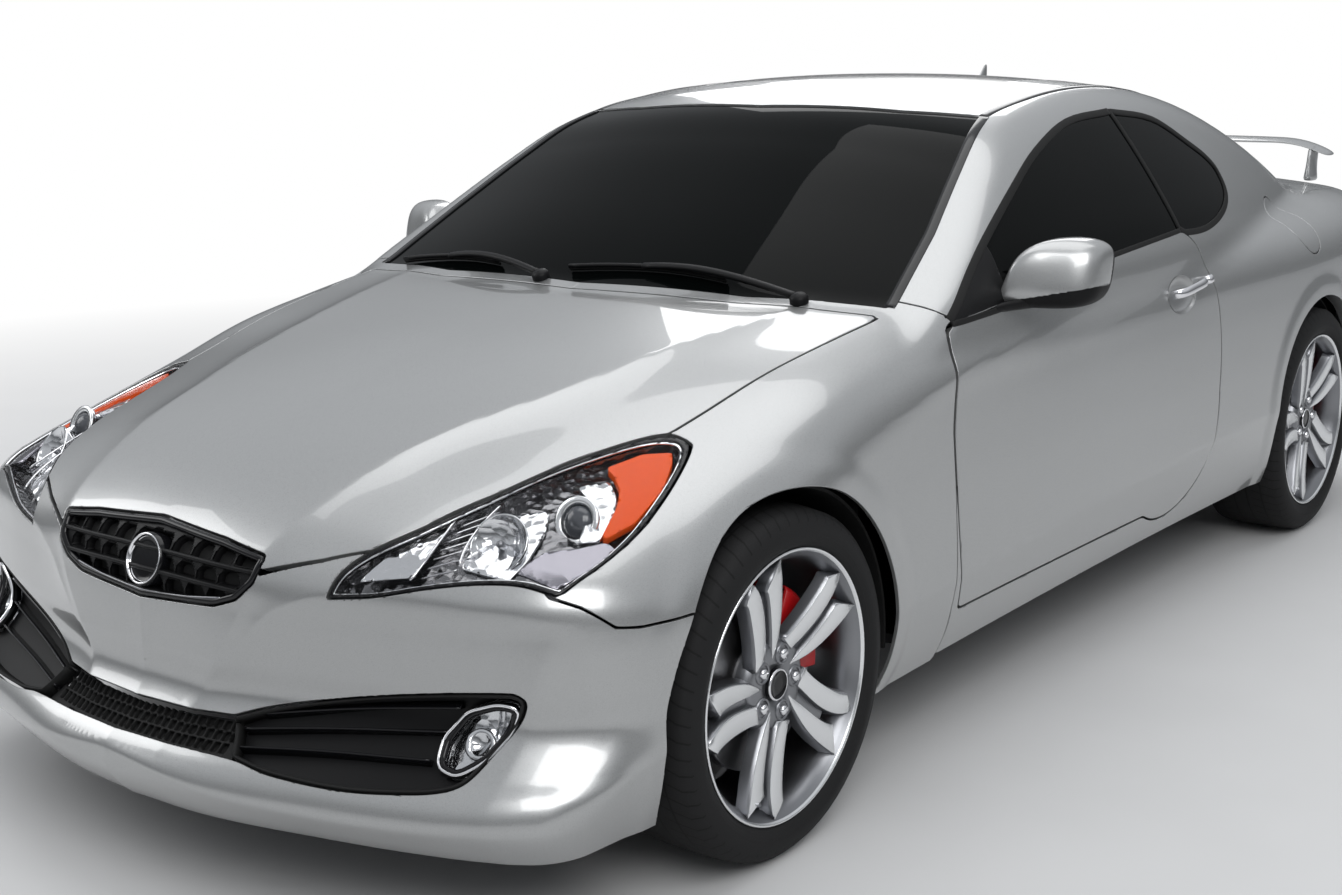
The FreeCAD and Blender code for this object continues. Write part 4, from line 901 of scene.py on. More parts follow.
def make_wheel(end, hand):
    """Rim with five pairs of blades, hub, nuts, bare cap, brake disc, valve and tyre."""
    sign = 1 if hand == "left" else -1
    width, r_tyre = SECTION[end]
    x, y = (FRONT_TRACK, FRONT_AXLE) if end == "front" else (REAR_TRACK, REAR_AXLE)
    half = lip = width / 2 - 8
    tag = end + "_" + hand
    where = (sign * x, y, r_tyre)

    def ring(name, rows, steps, materials, slots=None, at=where, angle=40):
        rows = [(lip + a, r) for a, r in rows]
        return sharpen(lathe(name + "_" + tag, rows, steps, [M[m] for m in materials], slots, at, sign),
                       angle)

    rows = [(-2 * half, 258), (-2 * half, 244), (-2 * half + 30, 229), (-60, 229), (-26, 234),
            (-12, 244), (-5, 250), (-1.5, 252.5), (0, 255), (-1, 257.6), (-7, 258)]
    # Rim: lip in bright alloy, barrel in the darker alloy as painted shade.
    rim = ring("rim", rows, 96, ["alloy_painted_shade", "alloy"], [0] * 6 + [1] * 4, where, 50)
    pts, faces, slots = [], [], []
    for i in range(5):
        turn = math.radians(PAIR_ANGLE + 72 * i)
        for edges, drop in ((BLADES[0], 0.0), (BLADES[1], 0.0), (PAIR_FLOOR, 13.0)):
            p, f, s = blade(edges, turn, lip, drop)
            faces += [tuple(k + len(pts) for k in q) for q in f]
            slots += s
            pts += p.tolist()
    arms = fix_faces(mesh_object("spokes_" + tag, np.array(pts) * (sign, 1, 1), faces, slots=slots,
                                 materials=[M["alloy"], M["alloy_painted_shade"]]))
    arms.location = rim.location
    parts = [rim, sharpen(arms, 30)]
    hub = [(-60, 95), (-44, 92), (-33, 84), (-30, 77), (-30, 56), (-31, 36), (-36, 33), (-37, 0.1)]
    # Hub in the darker alloy: painted shade.
    parts.append(ring("hub", hub, 60, ["alloy_painted_shade"]))
    cap = [(-36, 30.5), (-27, 30.5), (-25, 29), (-25, 26.5), (-26.5, 26), (-26, 12), (-26, 0.1)]
    parts.append(ring("cap", cap, 40, ["gloss", "chrome"], [0, 1, 1, 0, 0, 0]))
    pocket = [(-42, 0.1), (-42, 14.5), (-28, 15.5), (-26.5, 17), (-26.5, 19), (-29, 21), (-36, 22)]
    nut = [(-42, 10.5), (-25, 10.5), (-21.5, 8), (-21, 0.1)]
    for i in range(5):
        a = math.radians(72 * i)
        c = (where[0], where[1] + BOLT_CIRCLE * math.cos(a), where[2] + BOLT_CIRCLE * math.sin(a))
        # Pocket floor in the dark housing grey and pocket walls in the darker alloy: painted shade in the
        # lug pockets.
        parts.append(ring("pocket", pocket, 24, ["lamp_dark", "alloy_painted_shade"], [0, 0, 1, 1, 1, 1], c))
        parts.append(ring("nut", nut, 6, ["chrome"], None, c, 20))
    wheel = join_objects("wheel_rim_" + tag, parts)
    disc_rows = [(-100, 60), (-100, 168), (-98.5, 170), (-93, 170), (-93, 160), (-80, 160), (-80, 170),
                 (-73.5, 170), (-72, 168), (-72, 84), (-58, 80), (-58, 76), (-58, 20)]
    rotor = ring("brake_disc", disc_rows, 72, ["steel"], None, where, 30)
    stem = rod("valve_" + tag, (sign * (x + half - 30), y - 95, r_tyre - 207),
               (sign * (x + half - 4), y - 92, r_tyre - 196), 4, M["chrome"], 10)
    tyre = make_tyre(tag, where, r_tyre, width, sign)
    for o in (wheel, rotor, stem, tyre):
        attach(o, "road_wheel_" + tag)
    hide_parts("wheel_" + tag)
    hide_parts("tyre_" + tag)


def arc_piece(name, center, rows, start, stop, steps, material):
    """Bar bent round an axle: rows of x and radius, swept between two angles in degrees."""
    turn = np.radians(np.linspace(start, stop, steps + 1))
    pts = [(x, center[1] + r * math.cos(t), center[2] + r * math.sin(t)) for t in turn for x, r in rows]
    obj = fix_faces(mesh_object(name, pts, loft_cage(steps + 1, len(rows)), materials=[material]))
    return sharpen(applied(bevelled(obj, 3.0, 2)), 30)


def make_caliper(tag, x, y, z, low, high):
    """Red brake caliper behind the wheel, over the disc's rear edge."""
    inner, outer = low + 58, high - 10.5
    rows = [(low, 102), (low, 170), (low + 8, 180), (high - 8, 180), (high, 171), (high, 104),
            (outer, 100), (outer, 174.5), (inner, 174.5), (inner, 100)]
    body = arc_piece("caliper_body_" + tag, (x, y, z), rows, -6, 64, 10, M["caliper"])
    rib = [(low + 20, 179), (low + 20, 184), (high - 16, 184), (high - 16, 179)]
    return [body] + [arc_piece("caliper_rib", (x, y, z), rib, a, a + 6, 2, M["caliper"]) for a in (8, 44)]


def make_knuckles():
    """Front knuckles with their hubs, arms and calipers, and the rear axle parts with theirs."""
    iron, steel = M["iron"], M["steel"]
    x, y, z = FRONT_TRACK, FRONT_AXLE, FRONT_HUB
    parts = make_caliper("front", x, y, z, x - 57, x + 47.5)
    parts += [rod("knuckle_hub", (x - 95, y, z), (x + 4, y, z), 35.5, iron, 28),
              block("knuckle_post", (x - 94, y - 42, z - 118), (x - 57, y + 42, z + 148), iron, 10),
              block("knuckle_arm", (x - 94, y + 30, z - 33), (x - 61, y + 158, z + 33), iron, 8),
              rod("knuckle_pin", (736, y, 204), (736, y, 262), 15.5, steel, 20)]
    pair(join_objects("knuckle_piece_left", parts), "knuckle", "steering_knuckle_SIDE")
    x, y, z = REAR_TRACK, REAR_AXLE, REAR_HUB
    parts = make_caliper("rear", x, y, z, x - 44, x + 55.5)
    parts += [rod("rear_hub", (x - 80, y, z), (x + 14, y, z), 35.5, iron, 28),
              rod("drive_shaft", (104, y, z), (x - 60, y, z), 24, steel, 20),
              block("rear_carrier", (x - 98, y - 58, z - 118), (x - 62, y + 58, z + 118), iron, 10),
              block("rear_bracket", (x - 98, y + 50, z - 38), (x - 62, y + 108, z + 38), iron, 6),
              block("rear_mount_a", (361, y - 98, 292), (399, y - 62, 419), iron, 5),
              block("rear_mount_b", (361, y + 62, 292), (399, y + 98, 419), iron, 5)]
    left = join_objects("rear_corner_left", parts)
    right = copy_right(left, "rear_corner_right")
    beam = join_objects("rear_subframe", [
        block("rear_beam", (-418, y - 118, 232), (418, y + 118, 298), iron, 14),
        block("rear_drive", (-118, y - 138, 232), (118, y + 138, 398), iron, 24)])
    for o in (left, right, beam):
        own(o, "rear_suspension")


def tread_rubber(tag, radius, half):
    """Tyre finish with its grooves and blocks worked out from the place round the axle, with painted
    shade in the grooves.
    """
    s = Shade("tread_" + tag, (0.01, 0.01, 0.0105), 0.75, **{"Specular IOR Level": 0.25})
    x, y, z = s.where()[:3]
    r = (y * y + z * z) ** 0.5
    turn = s.node("ShaderNodeMath", {"operation": "ARCTAN2"}, {0: y, 1: z})[0]
    across = abs(x) / (half * MM)
    crown = across < 0.80
    lane = abs(((across + 0.02) % 0.36) - 0.18) < 0.018
    lean = turn * (64 / math.tau) + across * 1.4
    sipe = (lean % 1.0) < 0.13
    tread = r > (radius - 26) * MM
    cut = (lane * crown + sipe * (across > 0.30)).clamp() * tread
    band = (abs(r - (radius - 52) * MM) < 0.0016) + (abs(r - 0.268) < 0.0012)
    grain = s.noise(500.0, 3.0)
    # Grooves and sipes painted darker than the blocks: painted shade in grooves that are only bumps.
    s.drive("Base Color", s.mix(cut * 0.75, (0.0105, 0.0105, 0.011), (0.002, 0.002, 0.002)))
    s.drive("Roughness", 0.62 + 0.2 * grain)
    s.bump(grain * 0.08 + band * 0.9 - cut * 2.0, 0.9, 0.003)
    return s.material


def make_tyre(tag, where, radius, width, sign):
    """Tyre turned about its axle, from bead to tread."""
    half = width / 2
    rows = [(-half + 20, 256), (-half + 4, 268), (-half, radius - 46), (-half + 6, radius - 20),
            (-half + 20, radius - 6), (-half + 60, radius - 0.6), (half - 60, radius - 0.6),
            (half - 20, radius - 6), (half - 6, radius - 20), (half, radius - 46), (half - 4, 268),
            (half - 12, 259), (half - 20, 256)]
    return sharpen(lathe("tyre_ring_" + tag, rows, 60, [tread_rubber(tag, radius, half)], None, where,
                         sign), 60)


# Views: axis looked along, the two axes across it, and where the search for the form starts and ends
LIFT_STEPS, LIFT_HALVINGS = 90, 22
VIEWS = {"front": (1, (0, 2), -2600, -1250), "rear": (1, (0, 2), 2600, 1400),
         "left": (0, (1, 2), 1200, 250), "right": (0, (1, 2), -1200, -250),
         "top": (2, (0, 1), 1600, 450)}


def lift(view, uv, inset=0.0):
    """Points of the form seen first along a view at plane points, and the normals there."""
    axis, (i, j), start, end = VIEWS[view]
    uv = np.asarray(uv, float)
    p = np.zeros(uv.shape[:-1] + (3,))
    p[..., i], p[..., j] = uv[..., 0], uv[..., 1]
    a, b = np.full(uv.shape[:-1], float(start)), np.full(uv.shape[:-1], float(end))
    for k in np.linspace(0, 1, LIFT_STEPS)[1:]:
        p[..., axis] = start + (end - start) * k
        hit = (form(p) < 0) & (b == end)
        b = np.where(hit, p[..., axis], b)
        a = np.where(hit, start + (end - start) * (k - 1 / (LIFT_STEPS - 1)), a)
    for _ in range(LIFT_HALVINGS):
        p[..., axis] = (a + b) / 2
        out = form(p) > 0
        a, b = np.where(out, p[..., axis], a), np.where(out, b, p[..., axis])
    p[..., axis] = b
    n = slope(p)
    return p - n * inset, n


def patch(view, u0, u1, v0, v1, step):
    """Fine net over a part of one view, as points and triangles."""
    us = np.arange(u0, u1 + step, step)
    vs = np.arange(v0, v1 + step, step)
    grid = np.stack(np.meshgrid(us, vs, indexing="ij"), -1)
    p = lift(view, grid)[0].reshape(-1, 3)
    k = np.arange(len(us) * len(vs)).reshape(len(us), len(vs))
    q = np.stack([k[:-1, :-1], k[1:, :-1], k[1:, 1:], k[:-1, 1:]], -1).reshape(-1, 4)
    tri = np.concatenate([q[:, [0, 1, 2]], q[:, [0, 2, 3]]])
    side = np.cross(p[tri[:, 1]] - p[tri[:, 0]], p[tri[:, 2]] - p[tri[:, 0]])
    wrong = (side * slope(p)[tri[:, 0]]).sum(1) < 0
    tri[wrong] = tri[wrong][:, ::-1]
    long = np.linalg.norm(p[tri[:, 0]] - p[tri[:, 2]], axis=1) < 60
    return p, tri[long]


def sweep(name, path, frames, profile, material, closed=False):
    """Bar along points with a cross section; frames give the two directions of the section at each."""
    path = np.asarray(path, float)
    u, v = frames
    profile = np.asarray(profile, float)
    m = len(profile)
    pts = path[:, None] + u[:, None] * profile[None, :, :1] + v[:, None] * profile[None, :, 1:]
    n = len(path)
    faces = []
    for i in range(n if closed else n - 1):
        a, b = i, (i + 1) % n
        for k in range(m):
            l = (k + 1) % m
            faces.append((a * m + k, a * m + l, b * m + l, b * m + k))
    if not closed:
        faces += [tuple(range(m))[::-1], tuple((n - 1) * m + k for k in range(m))]
    obj = fix_faces(mesh_object(name, pts.reshape(-1, 3), faces, materials=[material]))
    return sharpen(obj, 40)


def fix_faces(obj):
    """Turns the faces outward."""
    b = bmesh.new()
    b.from_mesh(obj.data)
    bmesh.ops.recalc_face_normals(b, faces=b.faces)
    b.to_mesh(obj.data)
    b.free()
    return obj


def run_of(rows, spacing=12.0, closed=False):
    """Evenly spaced points along straight lines between rows of points."""
    c = np.asarray(rows, float)
    if closed:
        c = np.concatenate([c, c[:1]])
    length = np.concatenate([[0], np.cumsum(np.linalg.norm(np.diff(c, axis=0), axis=1))])
    fine = np.linspace(0, length[-1], max(3, int(length[-1] / spacing) + 1))
    out = np.stack([np.interp(fine, length, c[:, i]) for i in range(c.shape[1])], -1)
    return out[:-1] if closed else out


def along(p, closed):
    """Unit vectors along a line of points."""
    d = np.roll(p, -1, axis=0) - np.roll(p, 1, axis=0)
    if not closed:
        d[0], d[-1] = p[1] - p[0], p[-1] - p[-2]
    return unit(d)


def strip(name, view, rows, profile, material, closed=False, spacing=10.0, radius=0.0):
    """Bar that follows lines of a view on the body. Profile rows are distance to the left of the
    line's way and height over the skin, in mm."""
    c = rounded(rows, radius) if closed and radius else np.asarray(rows, float)
    uv = run_of(c, spacing, closed)
    p, n = lift(view, uv)
    d = along(p, closed)
    across = unit(np.cross(n, d))
    return sweep(name, p, (across, n), profile, material, closed)


def tube_along(name, rows, radius, material, steps=10, closed=False, spacing=8.0):
    """Round bar through points in space."""
    p = run_of(rows, spacing, closed)
    d = along(p, closed)
    ref = np.array([0.0, 0, 1]) if abs(d[:, 2]).mean() < 0.8 else np.array([1.0, 0, 0])
    u = np.cross(d, ref)
    u = unit(u)
    v = np.cross(u, d)
    t = turns(steps)
    return sweep(name, p, (u, v), np.stack([np.cos(t), np.sin(t)], -1) * radius, material, closed)


def plane_at(point):
    """Two directions of the plane that touches the form at a point, as the columns of a matrix."""
    n = slope(np.array(point, float))
    u = np.cross((0, 0, 1.0), n)
    u = unit(u)
    return np.stack([u, np.cross(n, u)], -1), n


def turned(name, rows, steps, materials, slots, place, way):
    """Turned piece about any axis: rows of distance along the axis and radius."""
    o = lathe(name, rows, steps, materials, slots)
    w = Vector(way).normalized()
    o.matrix_world = Matrix.Translation(Vector(place) * MM) @ Vector((1, 0,
            0)).rotation_difference(w).to_matrix().to_4x4()
    return sharpen(o, 35)


def copy_right(obj, name):
    """The same piece on the car's right side."""
    mesh = obj.data.copy()
    other = bpy.data.objects.new(name, mesh)
    bpy.context.collection.objects.link(other)
    bpy.context.view_layer.update()
    flip = Matrix.Scale(-1, 4, (1, 0, 0))
    had = mesh.has_custom_normals
    normals = [n.vector.copy() for n in mesh.corner_normals] if had else None
    mesh.transform(flip @ obj.matrix_world)
    mesh.flip_normals()
    if had:
        world = obj.matrix_world.to_3x3()
        keep = [None] * len(normals)
        for p in mesh.polygons:
            spots = list(p.loop_indices)
            for i, j in zip(spots, spots[:1] + spots[:0:-1]):
                v = world @ normals[j]
                keep[i] = (-v.x, v.y, v.z)
        mesh.normals_split_custom_set(keep)
    return other


def holes_sdf(rows, pitch, width, height, corner, low=1.0):
    """Distance outside a field of rounded holes: rows of z and sideways shift, seen from the front."""
    def distance(p):
        out = np.full(len(p), 60.0)
        for z, shift, limit in rows:
            u = (p[:, 0] - shift + pitch / 2) % pitch - pitch / 2
            soft = np.where(p[:, 2] > z, corner, corner * low)
            qx, qz = np.abs(u) - width / 2 + soft, np.abs(p[:, 2] - z) - height / 2 + soft
            d = np.hypot(np.maximum(qx, 0), np.maximum(qz, 0)) + np.minimum(np.maximum(qx, qz),
                    0) - soft
            d = np.where(np.abs(p[:, 0] - u) > limit, 60.0, d)
            out = np.minimum(out, d)
        return out
    return distance


def make_upper_grille():
    """Black grille plate with rows of deep cells, a rim and a bare boss; a near-black sheet behind the
    cells paints the shade in them.
    """
    face = patch("front", -294, 294, 522, 672, 3.0)
    zone_g = zone("xz", both(GRILLE), 8)
    cells = holes_sdf([(632, 27, 255), (594, 0, 245), (556, 27, 190)], 54, 43, 27, 14, 0.2)
    boss = disc("xz", 0, 597, 50)
    plate = panel("upper_grille_plate", (face, face),
                  [lambda p: zone_g(p) + 3.0, outside(cells, 0), outside(boss, 0)],
                  20, [M["black"]] * 2, True, 10.0, 3.0)
    bars = []
    bar = [(-5, -22), (-3.5, -5), (-2, -3), (2.5, -3), (4, -5), (5, -22)]
    for z, reach in ((617, 268), (579, 250), (541, 168)):
        rows = [(u, z - 0.00010 * u * u) for u in np.linspace(-reach, reach, 23)]
        bars.append(strip("grille_bar", "front", rows, bar, M["black"]))
    # Near-black sheet behind the cells: painted shade.
    back = panel("upper_grille_back", (face, face), [lambda p: zone_g(p) + 3.0], 2, [M["void"]] * 2,
                 False, 26.0, 0.5)
    lip = [(-1, -1), (-9, -1.5), (-12, -7), (-10, -24), (-1, -24)]
    rim = strip("upper_grille_rim", "front", both(GRILLE), lip, M["gloss"], True, 8, 8)
    low = [(-205, 558), (-120, 547), (-60, 542), (0, 540), (60, 542), (120, 547), (205, 558)]
    line = strip("upper_grille_line", "front", low, [(-1.5, -6), (1.5, -6), (1.5, -2), (-1.5, -2)],
                 M["alloy_painted_shade"])
    p, n = lift("front", (0, 597))
    ring = [(-40, 49), (-6, 49), (-1, 46), (0, 44.5), (-1, 43), (-5, 41.5), (-8, 40.5), (-7, 30),
            (-6, 15), (-6, 0.1)]
    boss_piece = turned("upper_grille_boss", ring, 64, [M["gloss"], M["chrome"], M["gloss"]],
                        [0, 0, 1, 1, 1, 1, 2, 2, 2], p - n * 4, n)
    own(join_objects("upper_grille_piece", [plate, back, rim, line, boss_piece] + bars), "upper_grille")


def net_mesh(name, view, area, cuts, sink, depth, materials, step=3.0, roll=0.8, inner=True):
    """Panel cut from its own net over a part of one view."""
    face = patch(view, *area, step)
    return panel(name, (face, face), cuts, depth, materials, inner, sink, roll)


LOWER_OPENING = bend([(0, 352), (234, 356), (297, 376), (397, 399), (550, 429), (729, 450), (752, 438),
                      (746, 410), (716, 356), (695, 315), (670, 302), (608, 293), (494, 286),
                      (364, 291), (286, 302), (150, 306), (0, 306)], (0, 1, 16))[:-4]


def make_lower_grille():
    """Centre mesh, side bezels with their fins, and the two fog lamps, in one dark opening; a near-black
    sheet behind the mesh paints the shade in it.
    """
    opening = zone("xz", both(INTAKE), 3)
    mesh_holes = holes_sdf([(346, 0, 250), (332, 9, 250), (318, 0, 250)], 18, 15, 11.5, 3)
    mid = net_mesh("lower_mesh", "front", (-280, 280, 300, 362),
                   [lambda p: opening(p) + 1.0, outside(mesh_holes, 0)], 22, 8, [M["rubber"]] * 2, 2.5)
    # Near-black sheet behind the mesh: painted shade.
    back = net_mesh("lower_back", "front", (-280, 280, 300, 362), [lambda p: opening(p) + 1.0], 33, 1,
                    [M["void"]] * 2, 10)
    bezel = zone("xz", BEZEL)
    fog = zone("xz", FOG, 14)
    plate = net_mesh("bezel_plate", "front", (232, 765, 275, 460),
                     [lambda p: bezel(p) + 1.0, outside(fog, 2)], 26, 7, [M["black"]] * 2, 5)
    edge = strip("bezel_edge", "front", BEZEL, [(-1, -28), (-1, -1.5), (-3, -0.8), (-7, -4), (-9, -28)],
                 M["rubber"])
    fins = []
    for u0, u1, z0, z1, high in ((286, 640, 366, 412, 7), (262, 622, 343, 376, 6),
                                 (262, 612, 319, 338, 6)):
        rows = [(u0 + (u1 - u0) * t, z0 + (z1 - z0) * t + 3 * math.sin(math.pi * t))
                for t in np.linspace(0, 1, 11)]
        fin = [(-high, -27), (-2, -9), (0, -7), (2, -9), (high, -27)]
        fins.append(strip("bezel_fin", "front", rows, fin, M["gloss"]))
    ring = strip("fog_ring", "front", FOG, [(0, -4), (2.5, -1.5), (6, -4), (6, -14), (0, -14)],
                 M["chrome"], True, 6, 14)
    around = [(-11, -14), (-8, -6), (-2, -3), (0, -6), (0, -24), (-11, -28)]
    frame_ring = strip("fog_frame", "front", FOG, around, M["gloss"], True, 8, 14)
    pair(join_objects("intake_bezel_left", [plate, edge] + fins + [frame_ring]), "intake_grilles")
    own(join_objects("intake_mesh", [mid, back]), "intake_grilles")
    cover = net_mesh("fog_cover", "front", (610, 750, 310, 430), [lambda p: fog(p) + 4.0], 7, 2.5,
                     [M["clear"]] * 2, 5)
    bowl = net_mesh("fog_bowl", "front", (610, 750, 310, 430), [lambda p: fog(p) + 4.0], 34, 2,
                    [M["reflector"]] * 2, 5)
    p, n = lift("front", (678, 366), 26)
    bulb = turned("fog_bulb", [(-8, 26), (4, 28), (8, 25), (5, 18), (-4, 9), (-6, 0.1)], 32,
                  [M["reflector"]], None, p, n)
    ribs = [strip("fog_rib", "front", [(690 + 9 * k, 336 + 8 * k), (700 + 9 * k, 412)],
                  [(-1, -33), (0, -27), (1, -33)], M["reflector"]) for k in range(4)]
    pair(join_objects("fog_lamp_left", [cover, bowl, bulb, ring] + ribs), "fog_lamps")


def in_plane(matrix, rows):
    """Points in space, as rows of a plane's two coordinates."""
    return (np.asarray(rows, float) @ matrix).tolist()


# Turned pieces of the lamps: place near the skin, lean of their axis, depth, and for each piece
# its name, rows, steps, finishes and slots
BULBS = (((634, -1962, 676), (0.1, -0.9, 0), 6,
          (("lamp_bowl", [(-34, 6), (-33, 16), (-26, 30), (-12, 50), (-9, 51.5), (-12, 53), (-36, 42)],
            48, ["reflector"], None),
           ("lamp_bulb", [(-34, 7), (-16, 7), (-12, 5), (-11, 0.1)], 20, ["alloy_painted_shade"], None))),
         ((703, -1843, 704), (0, -1.8, 0), 12,
          (("lamp_projector", [(-40, 20), (-22, 38), (-8, 44), (-5, 42.5), (-6, 32), (-9, 30), (-14, 29)],
            48, ["lamp_trim", "alloy"], [0, 0, 1, 1, 1, 1]),
           ("lamp_eye", [(-14, 29), (-7, 26), (-1, 16), (2, 8), (2.6, 0.1)], 40, ["lens"], None))))


def make_headlamps(nets):
    """Inside of the lamps: housing, rim, reflectors, projector, separators and the amber block."""
    plane = plane_at((640, -1940, 682))[0]
    lamp = zone("xz", LAMP)
    keep = lambda p: np.where(p[:, 1] < LAMP_END, lamp(p), -AWAY)
    face = finer(trim(nets[0], [beyond("x", 380), beyond("y", 1540, -1), beyond("z", 540)]))
    flat = lambda rows, r=0: zone(plane, in_plane(plane, rows), r)
    inner = flat([(452, -2121, 606), (544, -2079, 623), (549, -2060, 640), (536, -1960, 700),
                  (478, -2060, 658)], 6)
    amber = flat([(654, -1697, 757), (678, -1625, 771), (717, -1588, 772), (736, -1613, 760),
                  (769, -1683, 730), (786, -1781, 695), (775, -1847, 680), (765, -1843, 685),
                  (739, -1774, 713), (713, -1732, 732), (678, -1706, 748)], 8)
    frame_low = flat([(700, -1990, 640), (776, -1975, 619), (800, -1905, 645), (808, -1850, 672),
                      (780, -1850, 684), (756, -1885, 672), (712, -1930, 665)], 8)
    main = flat([(598, -2022, 646), (584, -1975, 686), (577, -1890, 722), (640, -1830, 736),
                 (672, -1880, 704), (690, -1950, 660), (690, -2000, 634)], 12)
    tall = flat([(648, -1770, 748), (682, -1722, 748), (716, -1745, 725), (748, -1788, 706),
                 (766, -1850, 674), (742, -1880, 672), (722, -1840, 690), (700, -1790, 722)], 8)
    beyond_edge = lambda far: (lambda p: -far - lamp(p))
    within = lambda area, far: (lambda p: area(p) + far)
    parts = [panel("lamp_" + name, (face, face), [keep] + cuts, depth, [M[finish]] * 2, True, sink, 0.6)
             for name, cuts, sink, depth, finish in (
                 ("housing", [], 40, 1.5, "lamp_dark"),
                 ("surround", [beyond_edge(4.2)], 3.5, 12, "gloss"),
                 ("border", [beyond_edge(6.6), within(lamp, 4.9)], 5.0, 3, "chrome"),
                 ("wall", [beyond_edge(2.0)], 6, 34, "lamp_dark"),
                 ("corner_reflector", [within(inner, 3)], 17, 3, "reflector"),
                 ("amber", [amber], 9, 14, "amber"),
                 ("frame", [frame_low, within(lamp, 7)], 12, 5, "lamp_frame"),
                 ("main_reflector", [within(main, 2)], 33, 4, "reflector"),
                 ("tall_reflector", [tall, lambda p: -amber(p)], 13, 12, "reflector"))]
    for t in np.linspace(0, 1, 7):
        a = np.array((556, -2068, 630)) * (1 - t) + np.array((545, -1958, 702)) * t
        b = np.array((606, -2028, 648)) * (1 - t) + np.array((578, -1890, 720)) * t
        parts.append(on_skin("lamp_rib", [a, (a + b) / 2, b], 24, 1.6, M["lamp_trim"]))
    for rows in ([(547, -2079, 622), (550, -2034, 658), (536, -1954, 703)],
                 [(609, -2025, 648), (589, -1974, 682), (577, -1886, 721)]):
        parts.append(on_skin("lamp_separator", curve3(rows), 12, 2.2, M["chrome"]))
    for spot, ahead, sink, pieces in BULBS:
        p, n = snap(spot)
        way = unit(n + np.array(ahead))
        parts += [turned(name, rows, steps, [M[m] for m in finishes], slots, p - n * sink, way)
                  for name, rows, steps, finishes, slots in pieces]
    pair(join_objects("headlamp_inside_left", parts), "headlamps")


def snap(p):
    """Nearest point of the form and its normal, from a point near it."""
    p = np.array(p, float)
    for _ in range(12):
        n = slope(p)
        p = p - n * form(p)
    return p, slope(p)


def curve3(rows):
    """Smooth arc through three points."""
    a, b, c = (np.array(r, float) for r in rows)
    t = np.linspace(0, 1, 17)[:, None]
    mid = 2 * b - (a + c) / 2
    return a * (1 - t) ** 2 + mid * 2 * t * (1 - t) + c * t**2


def on_skin(name, rows, sink, radius, material):
    """Round bar under the skin along points near it."""
    p = run_of(np.array(rows, float), 9.0)
    q = np.array([snap(k)[0] - snap(k)[1] * sink for k in p])
    return tube_along(name, q, radius, material, 8, False, 9.0)


def finer(net):
    """The same triangles, each split in four, with the new points on the form."""
    p, f = net
    e = np.concatenate([f[:, [0, 1]], f[:, [1, 2]], f[:, [2, 0]]])
    key, back = np.unique(np.sort(e, 1), axis=0, return_inverse=True)
    back = back.reshape(-1)
    mid = (p[key[:, 0]] + p[key[:, 1]]) / 2
    for _ in range(4):
        mid = mid - slope(mid) * form(mid)[:, None]
    n = len(f)
    ab, bc, ca = len(p) + back[:n], len(p) + back[n:2 * n], len(p) + back[2 * n:]
    a, b, c = f.T
    tri = np.concatenate([np.stack(t, -1) for t in ((a, ab, ca), (ab, b, bc), (ca, bc, c),
            (ab, bc, ca))])
    return np.concatenate([p, mid]), tri


def own(obj, node, body="body"):
    """Puts a piece on its body, in place of a CAD node where one is named."""
    if node:
        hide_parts(node)
    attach(obj, body)
    return obj


def pair(left, node=None, body="body"):
    """A left piece and its copy on the right; names end in left."""
    right = copy_right(left, left.name.replace("left", "right"))
    for obj, hand in ((left, "left"), (right, "right")):
        full = node if not node or node.endswith("s") else node + "_" + hand
        own(obj, full, body.replace("SIDE", hand))


def loft_cage(rows, count):
    """Faces between rings of a cage with equal point counts, closed at both ends."""
    faces = []
    for i in range(rows - 1):
        for k in range(count):
            l = (k + 1) % count
            faces.append((i * count + k, i * count + l, (i + 1) * count + l, (i + 1) * count + k))
    faces += [tuple(range(count))[::-1], tuple((rows - 1) * count + k for k in range(count))]
    return faces


def super_ring(x, y, z, wide, high, power=3.0, count=20, lean=0.0, tilt=0.0):
    """Rounded square ring across x: y and z half sizes, leaning back and out with its height."""
    t = turns(count)
    c, s = np.cos(t), np.sin(t)
    u = np.sign(c) * np.abs(c) ** (2 / power) * wide
    v = np.sign(s) * np.abs(s) ** (2 / power) * high
    return np.stack([x + tilt * v, y + u + lean * v, z + v], -1)


# Mirror cover: place across the car, along it and its height, half depth, half height, outward tilt
MIRROR_COVER = [(850, -560, 968, 26, 36, 0.30), (852, -556, 970, 46, 52, 0.30),
                (864, -545, 976, 60, 64, 0.30), (888, -528, 981, 70, 72, 0.26),
                (925, -508, 983, 71, 75, 0.17), (965, -495, 983, 68, 75, 0.08),
                (1000, -486, 984, 63, 70, 0.0), (1022, -478, 985, 51, 58, 0.0),
                (1032, -471, 986, 32, 38, 0.0)]
MIRROR_ARM = [(840, -626, 910, 62, 8), (852, -600, 914, 62, 11), (870, -572, 919, 56, 14),
              (895, -545, 925, 48, 17), (925, -520, 930, 36, 18)]
MIRROR_LEAN = 0.25
UNDERSIDE = 924.0
UNDERSIDE_RISE = 0.2


